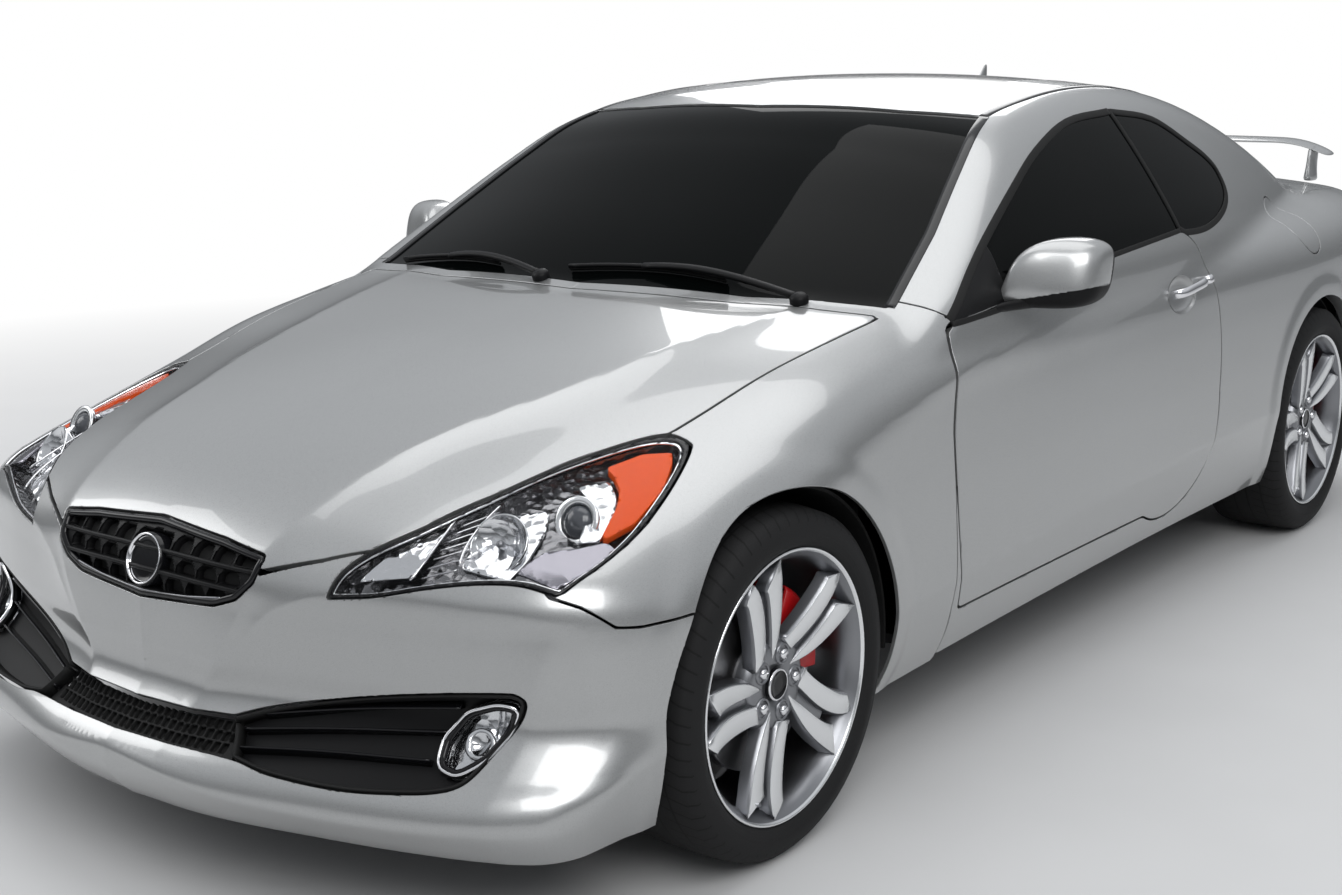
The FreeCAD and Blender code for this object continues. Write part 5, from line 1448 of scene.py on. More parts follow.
def make_mirror():
    """Door mirror: painted cover, dark underside, glass in its frame and the dark foot."""
    rings = [super_ring(*row[:5], 3.0, 28, MIRROR_LEAN, row[5]) for row in MIRROR_COVER]
    obj = fix_faces(mesh_object("mirror_cover", np.concatenate(rings), loft_cage(len(rings), 28),
                                materials=[M["paint"], M["black"]]))
    obj = applied_sub(obj, 3)
    low = np.array([v.co[:] for v in obj.data.vertices]) / MM
    mid = [low[list(p.vertices)].mean(0) for p in obj.data.polygons]
    back = [-452 + MIRROR_LEAN * (c[2] - 981) for c in mid]
    under = [1 if c[2] < UNDERSIDE + UNDERSIDE_RISE * (c[0] - 846) or c[1] > k else 0
             for c, k in zip(mid, back)]
    obj.data.polygons.foreach_set("material_index", under)
    t = turns(48)
    c, q = np.cos(t), np.sin(t)
    u, v = np.sign(c) * np.abs(c) ** 0.65, np.sign(q) * np.abs(q) ** 0.65
    rows = [np.stack([948 + u * a, 0 * t + y + MIRROR_LEAN * 0.8 * v * b, 981 + v * b], -1)
            for a, b, y in ((72, 54, -452), (72, 54, -427), (68, 50, -424.5), (66, 48, -427))]
    frame_ring = fix_faces(mesh_object("mirror_frame", np.concatenate(rows), loft_cage(4, 48)[:-1],
                                       materials=[M["black"]]))
    glass = mesh_object("mirror_glass", rows[3] + (0, 0.5, 0), [tuple(range(48))],
                        materials=[M["chrome"]])
    arm = fix_faces(mesh_object("mirror_arm",
                                np.concatenate([super_ring(*r, 2.4, 16) for r in MIRROR_ARM]),
                                loft_cage(len(MIRROR_ARM), 16), materials=[M["black"]]))
    arm = applied_sub(arm, 1)
    left = join_objects("door_mirror_piece_left", [obj, sharpen(frame_ring, 40), glass, arm])
    pair(left, "door_mirror", "door_assembly_SIDE")


def applied_sub(obj, levels):
    """The object smoothed by subdivision."""
    m = obj.modifiers.new("smooth", "SUBSURF")
    m.levels = m.render_levels = levels
    return applied(obj)


# Door handle: cup in the door, the pull over it and the fixed end behind the pull
HANDLE_CUP = (330, 834, 84, 48)
PULL_START, PULL_STOP, PULL_END = 272, 452, 486


def handle_bar(start, stop, reach, size):
    """Chrome bar that stands off the door between two places along it."""
    y = np.linspace(start, stop, 19)
    p, n = lift("left", np.stack([y, 838 + 0.075 * (y - 275)], -1))
    t = np.linspace(0, 1, len(p))
    out = (reach + 2) * (1 - np.abs(2 * t - 1) ** 5) ** 0.5 - 2
    p = p + n * out[:, None]
    d = np.gradient(p, axis=0)
    d = unit(d)
    d[0], d[-1] = d[1], d[-2]
    up = np.cross(n, d)
    up = unit(up)
    a = turns(16)
    ring = np.stack([np.cos(a) * size, np.sin(a) * 5.5], -1)
    return sweep("handle_bar", p, (up, np.cross(d, up)), ring, M["chrome"])


def make_handle():
    """Chrome pull with its fixed end, over the cup in the door."""
    size = sizes("handle_height") / 2
    reach = sizes("handle_reach")
    y, z, a, b = HANDLE_CUP
    t = turns(48)
    rows = []
    for r, deep in ((1.015, -0.6), (1.0, -0.8), (0.985, 0.2), (0.95, 5), (0.87, 10), (0.72, 14),
                    (0.5, 16), (0.25, 17), (0.02, 17)):
        p, n = lift("left", np.stack([y + r * a * np.cos(t), z + r * b * np.sin(t)], -1))
        rows.append(p - n * deep)
    cup = fix_faces(mesh_object("handle_cup", np.concatenate(rows), loft_cage(len(rows), 48)[:-2],
                                materials=[M["paint"]]))
    n = lift("left", np.array([[y, z]]))[1][0]
    if (np.array([p.normal[:] for p in cup.data.polygons]) @ n).mean() < 0:
        cup.data.flip_normals()
    cup.data.polygons.foreach_set("use_smooth", [True] * len(cup.data.polygons))
    pull = handle_bar(PULL_START, PULL_STOP, reach, size)
    end = handle_bar(PULL_STOP + 5, PULL_END, reach - 7, size - 0.5)
    left = join_objects("door_handle_piece_left", [pull, end, cup])
    pair(left, "door_handle", "door_assembly_SIDE")


def ellipse(axes, u, v, a, b):
    """Function giving about the distance of points outside an ellipse seen along one axis."""
    i, j = ("xyz".index(k) for k in axes)
    return lambda p: (np.hypot((p[:, i] - u) / a, (p[:, j] - v) / b) - 1) * min(a, b)


def seam(name, view, rows, width, material, rise=1.0, deep=6.0, spacing=12.0):
    """Flat rubber or moulding strip centred on a line."""
    h = width / 2
    prof = [(-h, -deep), (-h, 0), (-h + 1.5, rise), (h - 1.5, rise), (h, 0), (h, -deep)]
    return strip(name, view, rows, prof, material, False, spacing)


def make_mouldings():
    """Black seals round the side glass, along the roof, the windscreen and the rear window."""
    door, quarter, roof = (sizes(k) for k in ("door_seal", "quarter_seal", "roof_moulding"))
    rubber, gloss = M["rubber"], M["gloss"]
    pillar_line = [(741, -885), (702, -655), (592, -212)]
    roof_line_rows = [(588, -208), (577, 200), (562, 600), (524, 955)]
    pair(join_objects("roof_seals_left", [
        seam("seal_door_top", "left", DOOR_GLASS[:31], door, rubber, 0.6, 7),
        seam("seal_quarter", "left", QUARTER_GLASS + QUARTER_GLASS[:1], quarter, rubber, 0.6, 7, 10),
        seam("seal_pillar", "top", pillar_line, roof, gloss, 1.2, 7),
        seam("seal_roof", "top", roof_line_rows, roof, gloss, 1.2, 7)]))
    belt_rows = [(-822, 906), (-500, 917), (-28, 969), (187, 979), (402, 988)]
    belt = seam("belt_strip_left", "left", belt_rows, sizes("belt_strip"), rubber, 1.0, 8)
    corner = net_mesh("mirror_corner_left", "left", (-840, -560, 895, 1075),
                      [zone("yz", [(-826, 908), (-711, 985), (-590, 1050), (-585, 925)], 6)], 0.6, 6,
                      [M["black"]] * 2, 6)
    pair(join_objects("belt_strip_left", [belt, corner]), None, "door_assembly_SIDE")
    for name, rows, area, width in (("windscreen_band", WINDSCREEN, (-760, 760, -1030, -190), 46),
                                    ("rear_window_band", REAR_WINDOW, (-680, 680, 960, 1770), 40)):
        glass = zone("xy", both(rows))
        own(net_mesh(name, "top", area, [lambda p: glass(p) + 1, lambda p: -glass(p) - width], 8.5, 1.0,
                     [M["black"]] * 2, 12, 0.3, False), None)


def make_wipers():
    """Cowl panel and two wipers at rest."""
    rows = [(0, -1016), (434, -989), (736, -924), (736, -891), (434, -962), (0, -991)]
    cowl = net_mesh("cowl_cover", "top", (-745, 745, -1022, -885), [zone("xy", both(rows))], 17, 9,
                    [M["black"]] * 2, 8)
    own(cowl, "cowl_panel")
    for tag, pivot, tip in (("left", (560, -945), (-60, -950)), ("right", (-120, -985), (-640, -905))):
        uv = np.linspace(pivot, tip, 26)
        lean = np.sin(np.linspace(0, math.pi, 26)) * 22
        uv[:, 1] += lean
        p, n = lift("top", uv)
        half = (p + n * 3.0)[8:]
        side = np.cross(n[8:], unit(np.gradient(half, axis=0)))
        rubber = sweep("wiper_rubber", half, (side, n[8:]), [(-2, -3), (2, -3), (4, 6), (-4, 6)],
                       M["rubber"])
        frame_bar = sweep("wiper_frame", half + n[8:] * 9, (side, n[8:]),
                          [(-5, -3), (5, -3), (3, 4), (-3, 4)], M["black"])
        arm_pts = p[:18] + n[:18] * (9 + 15 * np.sin(np.linspace(0.3, math.pi * 0.92, 18)))[:, None]
        side = np.cross(n[:18], unit(np.gradient(arm_pts, axis=0)))
        wide = [(-9, -4), (9, -4), (6, 4), (-6, 4)]
        arm = sweep("wiper_arm", arm_pts, (side, n[:18]), wide, M["black"])
        cap = turned("wiper_cap", [(-12, 20), (4, 20), (10, 15), (12, 0.1)], 28, [M["black"]], None,
                     p[0] + n[0] * 8, n[0])
        own(join_objects("wiper_" + tag, [arm, rubber, frame_bar, cap]), None)


def make_spoiler():
    """Deck wing: lofted blade with turned-down tips, on two feet."""
    rings = []
    for x in np.linspace(-1, 1, 25):
        a = abs(x)
        drop = 0 if a < 0.72 else ((a - 0.72) / 0.28) ** 2 * 46
        front = 2122 + 26 * a**2
        rear = 2302 - 34 * a**3
        top = 1122 - drop + 5 * (1 - a * a)
        thick = 17 - 7 * a**3
        ring = [(front, top - thick * 0.5), (front + 22, top - 2), ((front + rear) / 2, top + 4),
                (rear - 26, top + 3), (rear, top - 3), (rear - 4, top - 9),
                (rear - 40, top - thick * 0.8), ((front + rear) / 2, top - thick),
                (front + 26, top - thick * 0.95)]
        rings.append([(x * 638, b, c) for b, c in ring])
    pts = np.concatenate([np.array(r) for r in rings])
    blade = fix_faces(mesh_object("wing_blade", pts, loft_cage(25, 9), materials=[M["paint"]]))
    blade = applied_sub(blade, 2)
    feet = []
    for s in (-1, 1):
        rows = []
        for z, w, y0, y1 in ((1104, 14, 2146, 2232), (1070, 13, 2142, 2222), (1035, 15, 2136, 2214),
                             (1005, 19, 2130, 2214), (985, 24, 2128, 2214)):
            t = turns(12)
            rows.append(np.stack([s * 580 + np.cos(t) * w, (y0 + y1) / 2 + np.sin(t) * (y1 - y0) / 2,
                                  z + 0 * t], -1))
        foot = fix_faces(mesh_object("wing_foot", np.concatenate(rows), loft_cage(5, 12),
                                     materials=[M["paint"]]))
        feet.append(applied_sub(foot, 1))
    own(join_objects("rear_wing", [blade] + feet), "rear_spoiler", "trunk_assembly")


def make_fin():
    """Roof aerial fin."""
    rows = []
    for z, y0, y1, w in ((1338, 851, 919, 7.5), (1350, 860, 919, 7), (1370, 880, 919.5, 5.5),
                         (1388, 897, 919.5, 3.8), (1399, 908, 919, 2)):
        t = turns(16)
        rows.append(np.stack([np.sin(t) * w, (y0 + y1) / 2 + np.cos(t) * (y1 - y0) / 2, z + 0 * t], -1))
    fin = fix_faces(mesh_object("aerial_fin", np.concatenate(rows), loft_cage(5, 16),
                                materials=[M["paint"]]))
    own(applied_sub(fin, 1), "antenna_fin")


def pad(name, profile, x0, x1, material):
    """Stuffed piece: a side profile in y and z carried across, smaller and rounded at both ends."""
    c = run_of(profile, 60.0, True)
    mid = (c.min(0) + c.max(0)) / 2
    rings = []
    for t, k in ((0, 0.72), (0.03, 0.92), (0.14, 1.0), (0.5, 1.0), (0.86, 1.0), (0.97, 0.92),
                 (1, 0.72)):
        q = mid + (c - mid) * k
        rings.append(np.column_stack([np.full(len(q), x0 + (x1 - x0) * t), q]))
    obj = fix_faces(mesh_object(name, np.concatenate(rings), loft_cage(7, len(c)),
                                materials=[material]))
    return applied_sub(obj, 2)


def soft(name, parts, fill=0.85):
    """Several stuffed pieces as one, in place of the CAD seats."""
    whole = own(join_objects(name, parts), "seats")
    return whole


def make_seats():
    """Two front seats with bolsters and head rests on their bases, and the rear bench."""
    cushion = [(-290, 304), (-296, 398), (-262, 430), (-100, 406), (180, 396), (226, 338), (200, 304)]
    side = [(-298, 296), (-306, 404), (-262, 440), (-100, 420), (170, 408), (236, 340), (205, 292)]
    back = [(165, 395), (195, 362), (240, 388), (300, 640), (424, 925), (414, 958), (380, 950),
            (230, 660)]
    wing = [(142, 400), (190, 352), (250, 388), (306, 640), (424, 900), (412, 950), (368, 945),
            (216, 664)]
    head = [(408, 988), (425, 968), (455, 988), (477, 1040), (477, 1098), (455, 1115), (426, 1102)]
    for tag, x in (("right", -390), ("left", 390)):
        low = [pad("seat_pad", cushion, x - 168, x + 168, M["cloth"])]
        high = [pad("seat_pad", back, x - 162, x + 162, M["cloth"])]
        for s in (-1, 1):
            a, b = sorted((x + s * 156, x + s * 227))
            low.append(pad("seat_pad", side, a, b, M["cloth"]))
            a, b = sorted((x + s * 150, x + s * 221))
            high.append(pad("seat_pad", wing, a, b, M["cloth"]))
        soft("seat_cushion_" + tag, low)
        soft("seat_back_" + tag, high)
        soft("head_rest_" + tag, [pad("seat_pad", head, x - 124, x + 124, M["cloth"])])
        posts = [rod("post", (x + s * 60, 412, 915), (x + s * 60, 434, 1000), 6.5, M["chrome"], 12)
                 for s in (-1, 1)]
        base = block("seat_base", (x - 188, -218, 237), (x + 188, 178, 304), M["cabin"], 12)
        own(join_objects("seat_frame_" + tag, [base] + posts), "seats")
    low = [(522, 252), (510, 380), (560, 412), (770, 390), (800, 300), (790, 240)]
    high = [(782, 406), (836, 856), (868, 884), (896, 850), (892, 600), (884, 404)]
    bench = [pad("seat_pad", low, a, b, M["cloth"]) for a, b in ((-598, -155), (155, 598))]
    bench += [pad("seat_pad", high, a, b, M["cloth"]) for a, b in ((-598, -4), (4, 598))]
    soft("rear_bench", bench)


def make_cabin():
    """Dashboard with its hood, vents and screen, steering wheel and inside mirror."""
    rows = [(-878, 702), (-878, 876), (-760, 922), (-660, 912), (-604, 878), (-588, 820), (-572, 722),
            (-620, 642)]
    c = run_of(rows, 30.0, True)
    stations = (-688, -680, -640, -200, 0, 200, 640, 680, 688)
    rings = [np.column_stack([np.full(len(c), x), c]) for x in stations]
    dash = fix_faces(mesh_object("dash_body", np.concatenate(rings), loft_cage(9, len(c)),
                                 materials=[M["cabin"]]))
    parts = [applied_sub(dash, 1)]
    hood = [np.array([(370 + 150 * s * math.cos(t), y, 890 + 62 * s * math.sin(t))
                      for t in np.linspace(0, math.pi, 15)])
            for y, s in ((-800, 0.6), (-700, 0.9), (-590, 1.0), (-585, 0.94), (-690, 0.84))]
    faces = [(i + k, i + k + 1, i + k + 16, i + k + 15) for i in range(0, 60, 15) for k in range(14)]
    parts.append(mesh_object("dial_hood", np.concatenate(hood), faces, materials=[M["cabin"]]))
    for x, r in ((310, 46), (430, 46)):
        parts.append(turned("dial", [(0, r), (6, r), (6, r - 4), (2, r - 5), (2, 0.1)], 32,
                            [M["chrome"], M["gloss"]], [0, 0, 0, 1], (x, -600, 872), (0, 0.95, 0.3)))
    parts.append(block("screen", (-95, -583, 760), (95, -571, 850), M["gloss"], 5))
    for x in (-600, -130, 130, 600):
        place = (x, -592, 872) if abs(x) > 200 else (x, -586, 876)
        parts.append(turned("vent", [(0, 44), (8, 44), (8, 38), (2, 36), (2, 0.1)], 28,
                            [M["chrome"], M["cabin"]], [0, 0, 1, 1], place, (0, 0.97, 0.2)))
    parts.append(rod("column", (370, -640, 760), (370, -430, 836), 27, M["cabin"], 24))
    centre, across = np.array((370.0, -415, 845)), np.array((1.0, 0, 0))
    up = np.array((0, -0.342, 0.94))
    t = turns(60)
    ring = centre + 180 * (np.outer(np.cos(t), across) + np.outer(np.sin(t), up))
    parts.append(tube_along("wheel_rim", ring, 14.5, M["cabin"], 12, True, 18))
    for a in (0, 180, 270):
        d = math.cos(math.radians(a)) * across + math.sin(math.radians(a)) * up
        parts.append(rod("wheel_spoke", centre + d * 30, centre + d * 174, 11, M["lamp_trim"], 12, 8))
    parts.append(turned("wheel_boss", [(-27, 50), (0, 55), (8, 50), (13, 30), (14, 0.1)], 32,
                        [M["cabin"]], None, centre, (0, 0.94, 0.342)))
    own(join_objects("dashboard_piece", parts), "dashboard")
    p = lift("top", (0, -470), 9)[0]
    glass = block("mirror_body", (-112, -432, 1112), (112, -412, 1172), M["black"], 9, 3)
    face = block("mirror_face", (-106, -412.5, 1117), (106, -410.5, 1167), M["chrome"], 1)
    stem = rod("mirror_stem", (0, -425, 1160), p, 7, M["black"], 12)
    own(join_objects("inside_mirror", [glass, face, stem]), None)


def repaint(node, material):
    """One finish on a CAD node that has no piece of its own."""
    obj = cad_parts[node]
    obj.data.materials.clear()
    obj.data.materials.append(material)


def make_under():
    """Finishes of the plain chassis pieces, arch guards and tail pipe ends."""
    for node, finish in (("floor_pan", "carpet"), ("engine_block", "iron"), ("exhaust", "steel"),
                         ("arch_liners", "rubber"), ("front_suspension", "iron")):
        repaint(node, M[finish])
    for hand, s in (("left", 1), ("right", -1)):
        ring = [(-9, 45.8), (0, 46), (1.5, 44), (0, 41.2), (-60, 41)]
        own(turned("tail_pipe_" + hand, ring, 48, [M["chrome"]], None, (s * 560, 2243, 290), (0, 1, 0)),
            None)
    guard = []
    place = lambda r, a: (FRONT_AXLE + r * math.cos(a), FRONT_HUB + r * math.sin(a))
    c = [place(r, a) for r, low, high in ((367, -16, 24), (343, 24, -16))
         for a in np.radians(np.linspace(low, high, 9))]
    pts = [(x, y, z) for x in (826, 829) for y, z in c]
    n = len(c)
    faces = [(k, (k + 1) % n, n + (k + 1) % n, n + k) for k in range(n)]
    faces += [(k, n - 1 - k, n - 2 - k, k + 1) for k in range(8)]
    faces += [(n + k, n + k + 1, 2 * n - 2 - k, 2 * n - 1 - k) for k in range(8)]
    flap_piece = fix_faces(mesh_object("guard", pts, faces, materials=[M["rubber"]]))
    guard.append(sharpen(flap_piece, 30))
    for a in (-8, 8):
        spot = (829, *place(355, math.radians(a)))
        guard.append(turned("guard_stud", [(0, 9), (2.5, 8), (4, 4), (4, 0.1)], 20, [M["lamp_dark"]],
                            None, spot, (1, 0, 0)))
    pair(join_objects("arch_guard_left", guard))


TAIL_PLATE = [(0, 716), (262, 716), (262, 552), (0, 552)]
DIFFUSER = [(0, 318), (440, 318), (486, 250), (470, 150), (0, 150)]


def make_tail():
    """Tail lamp chambers, blank plate in its recess, lower rear trim and reflectors."""
    lamp = zone("xz", TAIL_LAMP, 12)
    face = patch("rear", 690, 950, 785, 975, 8)
    back = panel("tail_back", (face, face), [lambda p: lamp(p) + 3.0, beyond("y", 1994)], 2,
                 [M["red_back"]] * 2, False, 30.0, 0.5)
    parts = [back]
    for x, z, r in ((768, 872, 34), (852, 893, 30)):
        p, n = lift("rear", (x, z))
        bowl = [(-14, 8), (-12, r - 14), (-4, r - 5), (3, r), (5, r + 1), (3, r + 3), (-12, r + 2)]
        parts.append(turned("tail_bowl", bowl, 36, [M["reflector"]], None, p - n * 15, n))
    pair(join_objects("tail_lamp_inside_left", parts), "tail_lamps")
    plate = zone("xz", both(TAIL_PLATE), 14)
    tray = net_mesh("plate_tray", "rear", (-266, 266, 548, 720), [lambda p: plate(p)], 8.0, 1.0,
                    [M["paint"]] * 2, 8, 0.5, False)
    own(tray, "rear_bumper")
    blank = net_mesh("blank_plate", "rear", (-156, 156, 556, 712),
                     [zone("xz", both([(0, 708), (152, 708), (152, 558), (0, 558)]), 10)], 5.0, 2.0,
                     [M["white"]] * 2, 6, 0.5, False)
    own(blank, "rear_bumper")
    low = zone("xz", both(DIFFUSER), 20)
    trim_low = net_mesh("rear_lower_trim", "rear", (-490, 490, 190, 322),
                        [lambda p: low(p) + 2.0, beyond("z", 191)], 3.0, 8.0, [M["black"]] * 2, 8)
    own(trim_low, "rear_bumper")
    mark = strip("rear_reflector_left", "rear", [(560, 398), (640, 402), (715, 410)],
                 [(-11, -2), (-9, 0.4), (9, 0.4), (11, -2)], M["red_back"])
    for o in (mark, copy_right(mark, "rear_reflector_right")):
        own(o, "rear_bumper")


# Area lights: name, place and size in m, power in W
LIGHTS = (("key_light", (5.5, -5.0, 6.5), 5.0, 330), ("side_light", (-6.0, -4.0, 4.5), 4.0, 120),
          ("top_light", (0.0, 0.5, 7.0), 6.0, 160), ("back_light", (-3.5, 6.5, 4.5), 4.0, 120))
# Camera matched to the photograph: lens in mm, azimuth, elevation and roll in degrees, place in m
LENS = 48.216
CAMERA_TURN = (37.6606, 12.7046, -0.7546)
CAMERA_PLACE = (2.617, -4.054, 1.475)


def make_stage():
    """Plain pale floor, soft lights and the camera."""
    world = bpy.data.worlds.new("soft_sky")
    bpy.context.scene.world = world
    world.use_nodes = True
    t = world.node_tree
    back = t.nodes["Background"]
    back.inputs[1].default_value = 0.62
    spot = t.nodes.new("ShaderNodeTexCoord")
    split = t.nodes.new("ShaderNodeSeparateXYZ")
    t.links.new(spot.outputs["Generated"], split.inputs[0])
    ramp = t.nodes.new("ShaderNodeMapRange")
    ramp.interpolation_type = "SMOOTHSTEP"
    ramp.inputs["From Max"].default_value = 0.55
    t.links.new(split.outputs[2], ramp.inputs[0])
    sky = t.nodes.new("ShaderNodeMix")
    sky.data_type = "RGBA"
    sky.inputs[6].default_value = (0.22, 0.23, 0.24, 1)
    sky.inputs[7].default_value = (0.93, 0.96, 1.0, 1)
    t.links.new(ramp.outputs[0], sky.inputs[0])
    t.links.new(sky.outputs[2], back.inputs[0])
    white = t.nodes.new("ShaderNodeBackground")
    white.inputs[0].default_value = (1, 1, 1, 1)
    ray = t.nodes.new("ShaderNodeLightPath")
    mix = t.nodes.new("ShaderNodeMixShader")
    t.links.new(ray.outputs["Is Camera Ray"], mix.inputs[0])
    t.links.new(back.outputs[0], mix.inputs[1])
    t.links.new(white.outputs[0], mix.inputs[2])
    t.links.new(mix.outputs[0], t.nodes["World Output"].inputs[0])
    floor = mesh_object("floor", [(-60000, -60000, 0), (60000, -60000, 0), (60000, 60000, 0),
                                  (-60000, 60000, 0)], [(0, 1, 2, 3)], materials=[floor_finish()])
    for name, place, size, power in LIGHTS:
        lamp = bpy.data.lights.new(name, "AREA")
        lamp.shape = "SQUARE"
        lamp.size, lamp.energy = size, power
        obj = bpy.data.objects.new(name, lamp)
        bpy.context.collection.objects.link(obj)
        obj.location = place
        obj.rotation_euler = (-Vector(place) + Vector((0, 0, 0.6))).to_track_quat("-Z", "Y").to_euler()
    cam = bpy.data.cameras.new("camera")
    cam.lens, cam.sensor_width = LENS, 36.0
    cam.clip_end = 200.0
    obj = bpy.data.objects.new("camera", cam)
    bpy.context.collection.objects.link(obj)
    az, el, roll = (math.radians(a) for a in CAMERA_TURN)
    forward = Vector((-math.sin(az) * math.cos(el), math.cos(az) * math.cos(el), -math.sin(el)))
    right = forward.cross(Vector((0, 0, 1))).normalized()
    up = right.cross(forward)
    right2 = right * math.cos(roll) + up * math.sin(roll)
    up2 = up * math.cos(roll) - right * math.sin(roll)
    obj.matrix_world = Matrix((right2, up2, -forward)).transposed().to_4x4()
    obj.location = CAMERA_PLACE
    bpy.context.scene.camera = obj
    bpy.context.scene.view_settings.view_transform = "Standard"


def floor_finish():
    """Pale floor that turns plain white away from the car for the camera."""
    s = Shade("pale_floor", (0.62, 0.62, 0.62), 0.7)
    x, y = s.where()[:2]
    far = (((x * x + y * y) ** 0.5 - 3.2) / 3.5).clamp(0.0, 1.0)
    grain = s.noise(3.0)
    s.drive("Base Color", s.mix(grain, (0.6, 0.6, 0.6), (0.64, 0.64, 0.64)))
    ray = s.node("ShaderNodeLightPath", {}, {})[0]
    glow = s.node("ShaderNodeEmission", {}, {"Strength": 1.0})[0]
    s.tree.nodes["Emission"].inputs[0].default_value = (1, 1, 1, 1)
    out = s.tree.nodes["Material Output"]
    mix = s.tree.nodes.new("ShaderNodeMixShader")
    s.tree.links.new((far * ray).socket, mix.inputs[0])
    s.tree.links.new(s.bsdf.outputs[0], mix.inputs[1])
    s.tree.links.new(glow.socket, mix.inputs[2])
    s.tree.links.new(mix.outputs[0], out.inputs[0])
    return s.material


# Lamp openings: where along the car they end, their gap, and the value that leaves the rest alone
LAMP_END, TAIL_LAMP_START, LAMP_GAP, AWAY = -1550, 1990, 3.0, -9.0


def make_body(nets):
    """Painted skins, glass and lamp covers, each cut from the nets of the whole form."""
    skin_mats = [M["paint"], M["inner"]]
    lamp = zone("xz", LAMP)
    lamp_off = lambda p: np.where(p[:, 1] < LAMP_END, LAMP_GAP - lamp(p), AWAY)
    hood = zone("xy", both(HOOD))
    screen = zone("xy", both(WINDSCREEN))
    roof = zone("xy", both(ROOF), 20)
    back = zone("xy", both(REAR_WINDOW), 25)
    lid = zone("xy", both(TRUNK_TOP), 20)
    fender = zone("yz", FENDER)
    door = zone("yz", DOOR, 20)
    glass = zone("yz", DOOR_GLASS)
    quarter = zone("yz", QUARTER_GLASS)
    bumper = zone("yz", REAR_BUMPER_SIDE, 20)
    tail_lamp = zone("xz", TAIL_LAMP, 12)
    arch_f = disc("yz", FRONT_AXLE, FRONT_HUB, FRONT_ARCH)
    arch_r = disc("yz", REAR_AXLE, REAR_HUB, REAR_ARCH)
    both_sides = lambda f: (lambda p: f(np.abs(p) * np.array([1, 0, 0]) + p * np.array([0, 1, 1])))
    at_tail = lambda p: p[:, 1] > TAIL_LAMP_START
    tail_lamp_off = both_sides(lambda p: np.where(at_tail(p), LAMP_GAP - tail_lamp(p), AWAY))
    glazing = {"sink": 3.2, "mats": [M["glass"]] * 2}

    def add(name, node, body, cuts, depth, inner=True, sink=0.0, mats=skin_mats, net=nets):
        own(panel(name, net, cuts, depth, mats, inner, sink), node, body)

    high = beyond("z", 560)
    flap = disc("yz", *FLAP)
    zone_of_cup = ellipse("yz", *HANDLE_CUP)
    sym_lamp = both_sides(lamp_off)
    grille = zone("xz", both(GRILLE), 8)
    front = lambda f, gap=LAMP_GAP: (lambda p: np.where(p[:, 1] < -1900, gap - f(p), AWAY))
    opening = zone("xz", both(LOWER_OPENING), 5)
    add("hood_skin", "hood", "hood_lid", [hood, high, sym_lamp, front(grille)], 20)
    for side, sg in (("left", 1), ("right", -1)):
        m = (lambda f: f) if sg > 0 else mirrored
        half = beyond("x", 0, sg)
        add("fender_skin_" + side, "front_fender_" + side, "body",
            [m(fender), half, outside(both_sides(hood)), sym_lamp, outside(arch_f, 0), outside(screen)],
            8, False)
        add("door_skin_" + side, "door_" + side, "door_assembly_" + side,
            [m(door), half, outside(m(zone_of_cup), 0)], 24, True, 0.0, [M["paint"], M["cabin"]])
        cuts = [zone("yz", BODY_SIDE), half, outside(door), outside(glass, 3), outside(quarter, 3),
                outside(hood), outside(screen), outside(roof), outside(back), outside(lid),
                outside(bumper), outside(fender, 3), outside(arch_r, 0), tail_lamp_off]
        if sg > 0:
            cuts.append(outside(flap, 3))
            add("fuel_flap_skin", "fuel_flap", "fuel_door", [flap, half], 9)
        add("body_side_skin_" + side, "body_side_" + side, "body", cuts, 40)
        add("door_glass_pane_" + side, "door_glass_" + side, "door_assembly_" + side, [glass, half], 4,
            **glazing)
    add("quarter_panes", "quarter_glass", "body", [lambda p: quarter(p) + 2.0], 4, **glazing)
    sunroof, over = zone("xy", both(SUNROOF), 30), beyond("z", 1150)
    add("roof_skin", "roof_panel", "body", [roof, outside(sunroof, 3), over], 24)
    add("sunroof_pane", "sunroof_glass", "body", [sunroof, over], 5, sink=1.6, mats=[M["gloss"]] * 2)
    add("windscreen_pane", "windscreen", "body", [screen, beyond("z", 880)], 5, **glazing)
    add("rear_window_pane", "rear_window", "body", [back, beyond("z", 960)], 4, **glazing)
    add("trunk_skin", "trunk_lid", "trunk_assembly", [lid, beyond("z", 770), tail_lamp_off], 24)
    add("front_bumper_skin", "front_bumper", "body",
        [beyond("z", 172), beyond("y", 1600, -1), outside(fender, 4), outside(hood), sym_lamp,
         front(grille), front(opening, 1.0), outside(arch_f, 0)],
        13, False, net=(finer(trim(nets[0], [beyond("y", 1560, -1)])), None))
    plate, low = zone("xz", both(TAIL_PLATE), 14), zone("xz", both(DIFFUSER), 20)
    tail = lambda f: (lambda p: np.where(p[:, 1] > 2000, -f(p), AWAY))
    add("rear_bumper_skin", "rear_bumper", "body",
        [bumper, beyond("z", 191), outside(arch_r, 0), tail(plate), tail(low)], 13, False)
    add("lamp_covers", "headlamps", "body",
        [both_sides(lambda p: np.where(p[:, 1] < LAMP_END, lamp(p), -AWAY))],
        3, sink=1.2, mats=[M["clear"]] * 2)
    add("tail_lamp_lenses", "tail_lamps", "body",
        [both_sides(lambda p: np.where(at_tail(p), tail_lamp(p), -AWAY)), outside(lid)],
        4, sink=1.2, mats=[M["red"]] * 2)


